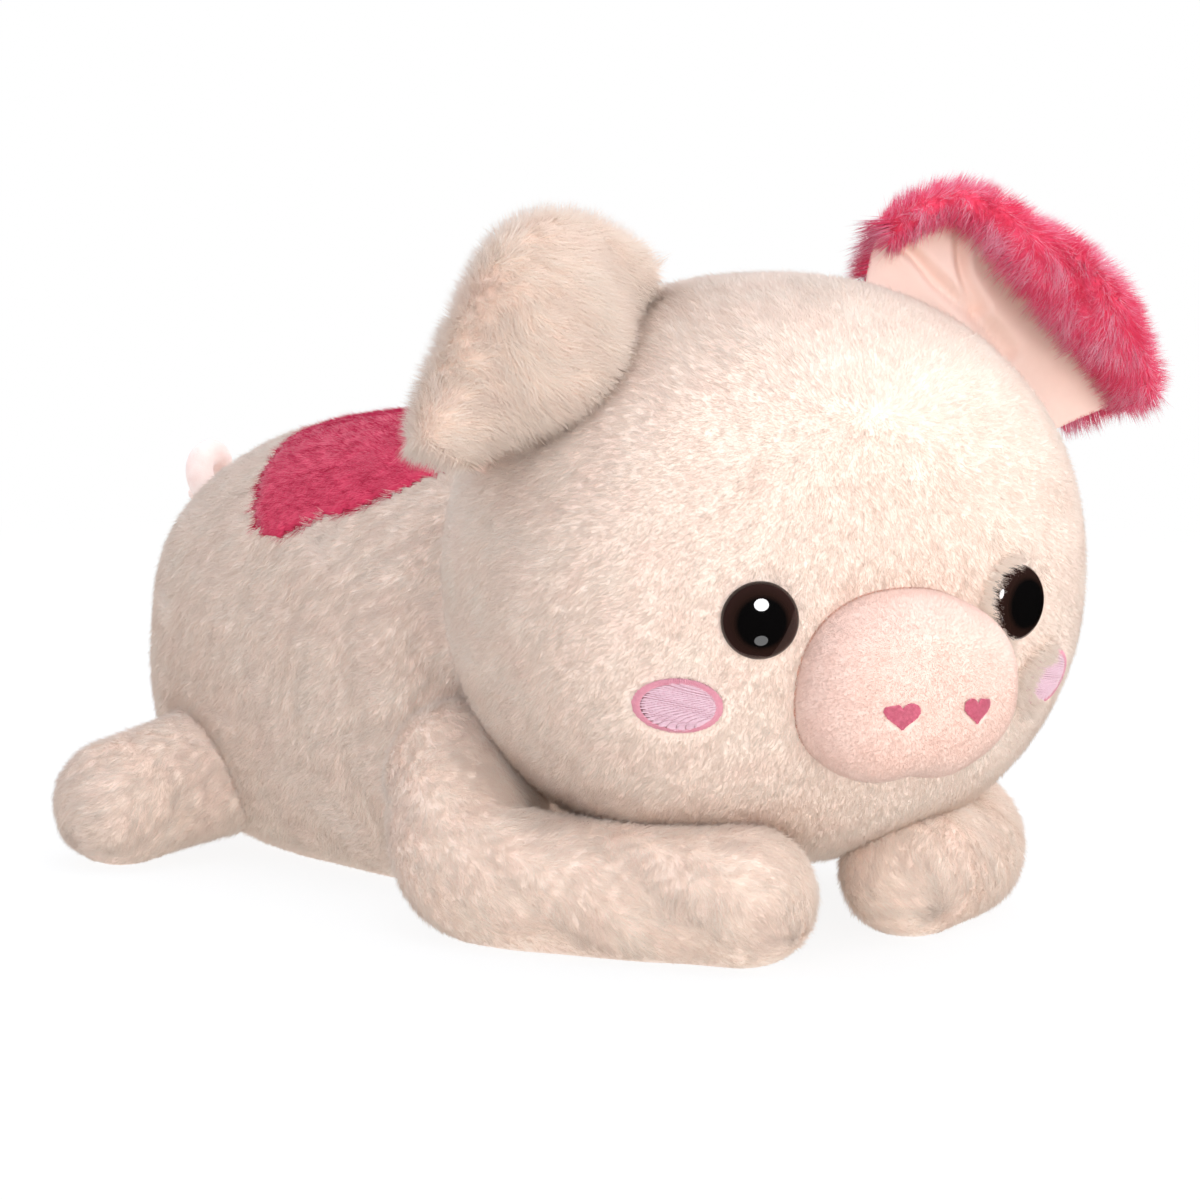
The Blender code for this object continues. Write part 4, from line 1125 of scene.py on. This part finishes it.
def make_cheeks(border_material, fill_material, ground_material):
    rng = np.random.default_rng(SEED + 50)
    for name, place in head_places(CHEEK_SPACING, CHEEK_DROP):
        way = np.array(place.to_3x3() @ Vector((0, 0, 1)))
        lift = way * CHEEK_LIFT

        rings = []
        angles = np.linspace(0, math.tau, CHEEK_SIDES, endpoint=False)
        for share, lift_share in CHEEK_GROUND:
            oval = (np.cos(angles) * CHEEK_HALF[0], np.sin(angles) * CHEEK_HALF[1])
            rings.append(head_line(place, np.stack(oval, 1) * share) + lift * lift_share)
        label = f"cheek_{name}_ground"
        mesh = closed(grid_mesh(label, np.array(rings), wrap=True))
        add_piece(label, mesh, ground_material, "head", "thread_pink")

        fill = []
        across, up = CHEEK_HALF
        row, k = -up * FILL_ROWS_SHARE, 0
        while row < up * FILL_ROWS_SHARE:
            reach = math.sqrt(max(0, 1 - (row / (up * FILL_SHARE)) ** 2))
            reach = across * FILL_SHARE * reach
            at = -reach + (k % 3) * FILL_SHIFT
            while at < reach - FILL_LEAST:
                stop = min(at + FILL_STITCH, reach)
                high = row + FILL_BEND * math.sin(row * 900 + at * 300)
                flat = [
                    (at + (stop - at) * t, high + rng.uniform(-FILL_UNEVEN, FILL_UNEVEN))
                    for t in (0, 0.5, 1)
                ]
                fill.append((head_line(place, flat) + lift, way))
                at = stop + FILL_GAP
            row += THREAD * 1.02
            k += 1
        label = f"cheek_{name}_fill"
        mesh = thread_mesh(label, fill, THREAD * 0.95, FILL_RISE)
        add_piece(label, mesh, fill_material, "head", "thread_pink", f"cheek_{name}")

        border = []
        for i in range(BORDER_STITCHES):
            angle = math.tau * i / BORDER_STITCHES
            ray = np.array((math.cos(angle), math.sin(angle))) * CHEEK_HALF
            start, middle, end = BORDER_SHARES
            end += rng.uniform(-BORDER_UNEVEN, BORDER_UNEVEN)
            line = head_line(place, [ray * share for share in (start, middle, end)])
            border.append((line + lift * BORDER_LIFTS, way))
        label = f"cheek_{name}_border"
        mesh = thread_mesh(label, border, THREAD * 1.25, BORDER_RISE)
        add_piece(label, mesh, border_material, "head", "thread_rose")


def eye_material():
    """Black gloss with a brown ring towards the rim."""
    material, shader = new_material("eye_gloss", EYE_RIM, 0.04, 0.0, 0.35)
    nodes, links = material.node_tree.nodes, material.node_tree.links
    place = add_node(nodes, "TexCoord")
    flatten = add_node(nodes, "VectorMath", {1: (1, 1, 0)}, "MULTIPLY")
    distance = add_node(nodes, "VectorMath", operation="LENGTH")
    share = add_node(nodes, "Math", {1: EYE_RADIUS}, "DIVIDE")
    ramp = add_ramp(nodes, EYE_TONES)
    connect(
        links,
        (place, "Object", flatten, 0),
        (flatten, 0, distance, 0),
        (distance, "Value", share, 0),
        (share, 0, ramp, "Fac"),
        (ramp, "Color", shader, "Base Color"),
    )
    return material


def make_eyes(material):
    profile = [(0.0, EYE_RISE)]
    for i in range(1, EYE_STEPS + 1):
        angle = math.pi / 2 * i / EYE_STEPS
        height = EYE_EDGE + (EYE_RISE - EYE_EDGE) * math.cos(angle)
        profile.append((EYE_RADIUS * math.sin(angle), height))
    profile += [(EYE_RADIUS * out, EYE_EDGE * high) for out, high in EYE_BACK_SHARES]
    angles = np.linspace(0, math.tau, EYE_SIDES, endpoint=False)
    across, up = np.cos(angles), np.sin(angles)
    rings = np.array([
        np.stack((radius * across, radius * up, np.full(EYE_SIDES, height - EYE_SEAT)), 1)
        for radius, height in profile
    ])
    for name, place in head_places(EYE_SPACING, EYE_DROP):
        label = "eye_cap_" + name
        eye = add_object(label, closed(grid_mesh(label, rings, wrap=True)), [material])
        eye.matrix_world = place
        show(eye, "head", "eye_black", "eye_" + name)


def make_tail(material):
    stem = [np.array((0, -TAIL_INSET, 0.0)), np.array((0, TAIL_STEM / 2, 0.0))]
    share = np.linspace(0, 1, TAIL_STEPS)
    angle = math.tau * TAIL_TURNS * share
    back = TAIL_STEM + TAIL_PITCH * TAIL_TURNS * share
    curl = np.stack((-TAIL_CURL * (1 - np.cos(angle)), back, -TAIL_CURL * np.sin(angle)), 1)
    line = np.vstack((stem, curl)) + TAIL_ROOT
    left = 1 - np.arange(len(line)) / (len(line) - 1)
    tip = np.maximum(0, 1 - left / TAIL_TIP_SHARE)
    radii = TAIL_RADIUS * (1 - TAIL_THINNER * (1 - left))
    radii = radii * np.sqrt(np.maximum(TIP_SHARE, 1 - tip**2))
    mesh = closed(grid_mesh("tail_velour", tube_points(line, radii, TAIL_SIDES), wrap=True))
    tail = add_object("tail_velour", mesh, [material])
    show(tail, "tail", "velour_pink", "tail")


def make_stage():
    low, high = -FLOOR_HALF, FLOOR_HALF
    corners = [[(low, low, 0.0), (high, low, 0.0)], [(low, high, 0.0), (high, high, 0.0)]]
    material, shader = new_material("floor_white", FLOOR_COLOUR, 0.9, 0.0, 0.0)
    nodes, links = material.node_tree.nodes, material.node_tree.links
    glow = add_node(nodes, "Emission", {"Strength": 1.0})
    rays = add_node(nodes, "LightPath")
    place = add_node(nodes, "TexCoord")
    distance = add_node(nodes, "VectorMath", operation="LENGTH")
    fade = add_node(nodes, "MapRange", FLOOR_FADE)
    share = add_node(nodes, "Math", operation="MULTIPLY")
    mix = add_node(nodes, "MixShader")
    least = add_node(nodes, "Math", {1: FLOOR_GLOW}, "MAXIMUM")
    connect(
        links,
        (place, "Object", distance, 0),
        (distance, "Value", fade, "Value"),
        (fade, "Result", share, 1),
        (rays, "Is Camera Ray", share, 0),
        (share, 0, least, 0),
        (least, 0, mix, 0),
        (shader, 0, mix, 1),
        (glow, 0, mix, 2),
        (mix, 0, nodes["Material Output"], "Surface"),
    )
    material.cycles.emission_sampling = "NONE"
    floor = add_object("floor", grid_mesh("floor", np.array(corners)), [material])
    floor.visible_glossy = False


def make_world():
    """White to the camera, dark in gloss, and soft light from all round for everything else."""
    world = bpy.data.worlds.new("studio")
    bpy.context.scene.world = world
    world.use_nodes = True
    nodes, links = world.node_tree.nodes, world.node_tree.links
    fill = nodes["Background"]
    fill.inputs["Color"].default_value = (*WORLD_COLOUR, 1)
    place = add_node(nodes, "TexCoord")
    towards = add_node(nodes, "VectorMath", {1: WORLD_BRIGHT_WAY}, "DOT_PRODUCT")
    level = add_node(nodes, "Math", {1: WORLD_SLOPE, 2: WORLD_LEVEL}, "MULTIPLY_ADD")
    white = add_node(nodes, "Background", {"Color": (1, 1, 1, 1)})
    dark = add_node(nodes, "Background", {"Color": (0, 0, 0, 1)})
    rays = add_node(nodes, "LightPath")
    gloss = add_node(nodes, "MixShader")
    mix = add_node(nodes, "MixShader")
    connect(
        links,
        (place, "Generated", towards, 0),
        (towards, "Value", level, 0),
        (level, 0, fill, "Strength"),
        (rays, "Is Glossy Ray", gloss, 0),
        (fill, 0, gloss, 1),
        (dark, 0, gloss, 2),
        (rays, "Is Camera Ray", mix, 0),
        (gloss, 0, mix, 1),
        (white, 0, mix, 2),
        (mix, 0, nodes["World Output"], "Surface"),
    )


def add_lamp(name, place, size, power, colour, glint):
    """A round soft lamp. A glint is seen only in gloss, and the other lamps only on matt cloth."""
    lamp = bpy.data.lights.new(name, "AREA")
    lamp.shape = "DISK"
    lamp.size = size
    lamp.energy = power
    lamp.color = colour
    obj = bpy.data.objects.new(name, lamp)
    bpy.context.scene.collection.objects.link(obj)
    obj.location = place
    obj.rotation_euler = (VIEW_TARGET - Vector(place)).to_track_quat("-Z", "Y").to_euler()
    obj.visible_diffuse = not glint
    obj.visible_glossy = glint


def make_lights():
    make_world()
    for lamps, glint in ((LAMPS, False), (GLINTS, True)):
        for name, values in lamps.items():
            add_lamp(name, *values, glint)


def make_camera():
    camera = bpy.data.cameras.new("camera")
    camera.lens = VIEW_LENS
    camera.sensor_width = SENSOR
    obj = bpy.data.objects.new("camera", camera)
    bpy.context.scene.collection.objects.link(obj)
    flat = math.cos(VIEW_ELEVATION)
    across, ahead = math.sin(VIEW_AZIMUTH) * flat, -math.cos(VIEW_AZIMUTH) * flat
    back = Vector((across, ahead, math.sin(VIEW_ELEVATION)))
    obj.location = VIEW_TARGET + back * VIEW_DISTANCE
    obj.rotation_euler = (-back).to_track_quat("-Z", "Y").to_euler()
    bpy.context.scene.camera = obj


def main():
    bpy.context.scene.view_settings.view_transform = "Standard"
    cloths = {name: mottled_material(name, *values) for name, values in CLOTHS.items()}
    cream = pile_tints("plush_cream", CREAM_DEEP, CREAM, CREAM_LIGHT)
    pink = pile_tints("plush_pink", PINK_DEEP, PINK, PINK_LIGHT, PINK_SHEEN)
    # The patch's tints are the pink pile darkened: painted shade.
    patch = pile_tints("plush_pink_painted_shade", PAINTED_SHADE_PINK_DEEP, PAINTED_SHADE_PINK, PAINTED_SHADE_PINK_LIGHT)
    snout = pile_tints("snout_velour", SNOUT_DEEP, SNOUT_PINK, SNOUT_LIGHT)
    skin, lining = cloths["plush_ground"], cloths["velour_lining"]
    make_head(skin, cream)
    make_body(skin, cloths["pink_ground_painted_shade"], cream, patch)
    for i, name in enumerate(LIMBS):
        make_limb(name, skin, cream, SEED + 60 + 5 * i)
    make_ear("left", cloths["pink_plush_ground"], lining, pink, "plush_pink", SEED + 90)
    make_ear("right", skin, lining, cream, "plush_cream", SEED + 100)
    make_snout(cloths["velour_snout"], snout)
    # A dark tube paints the shadow in the snout's seam.
    make_painted_seam_shadow(cloths["seam_shade"])
    make_nostrils(cloths["thread_rose"])
    make_cheeks(cloths["thread_border"], cloths["thread_fill"], cloths["thread_ground"])
    make_eyes(eye_material())
    make_tail(cloths["velour_tail"])
    for name in ("left", "right"):
        washer = frame["nodes"]["eye_washer_" + name]
        washer.data.materials.clear()
        washer.data.materials.append(cloths["washer_plastic"])
    make_stage()
    make_lights()
    make_camera()


main()
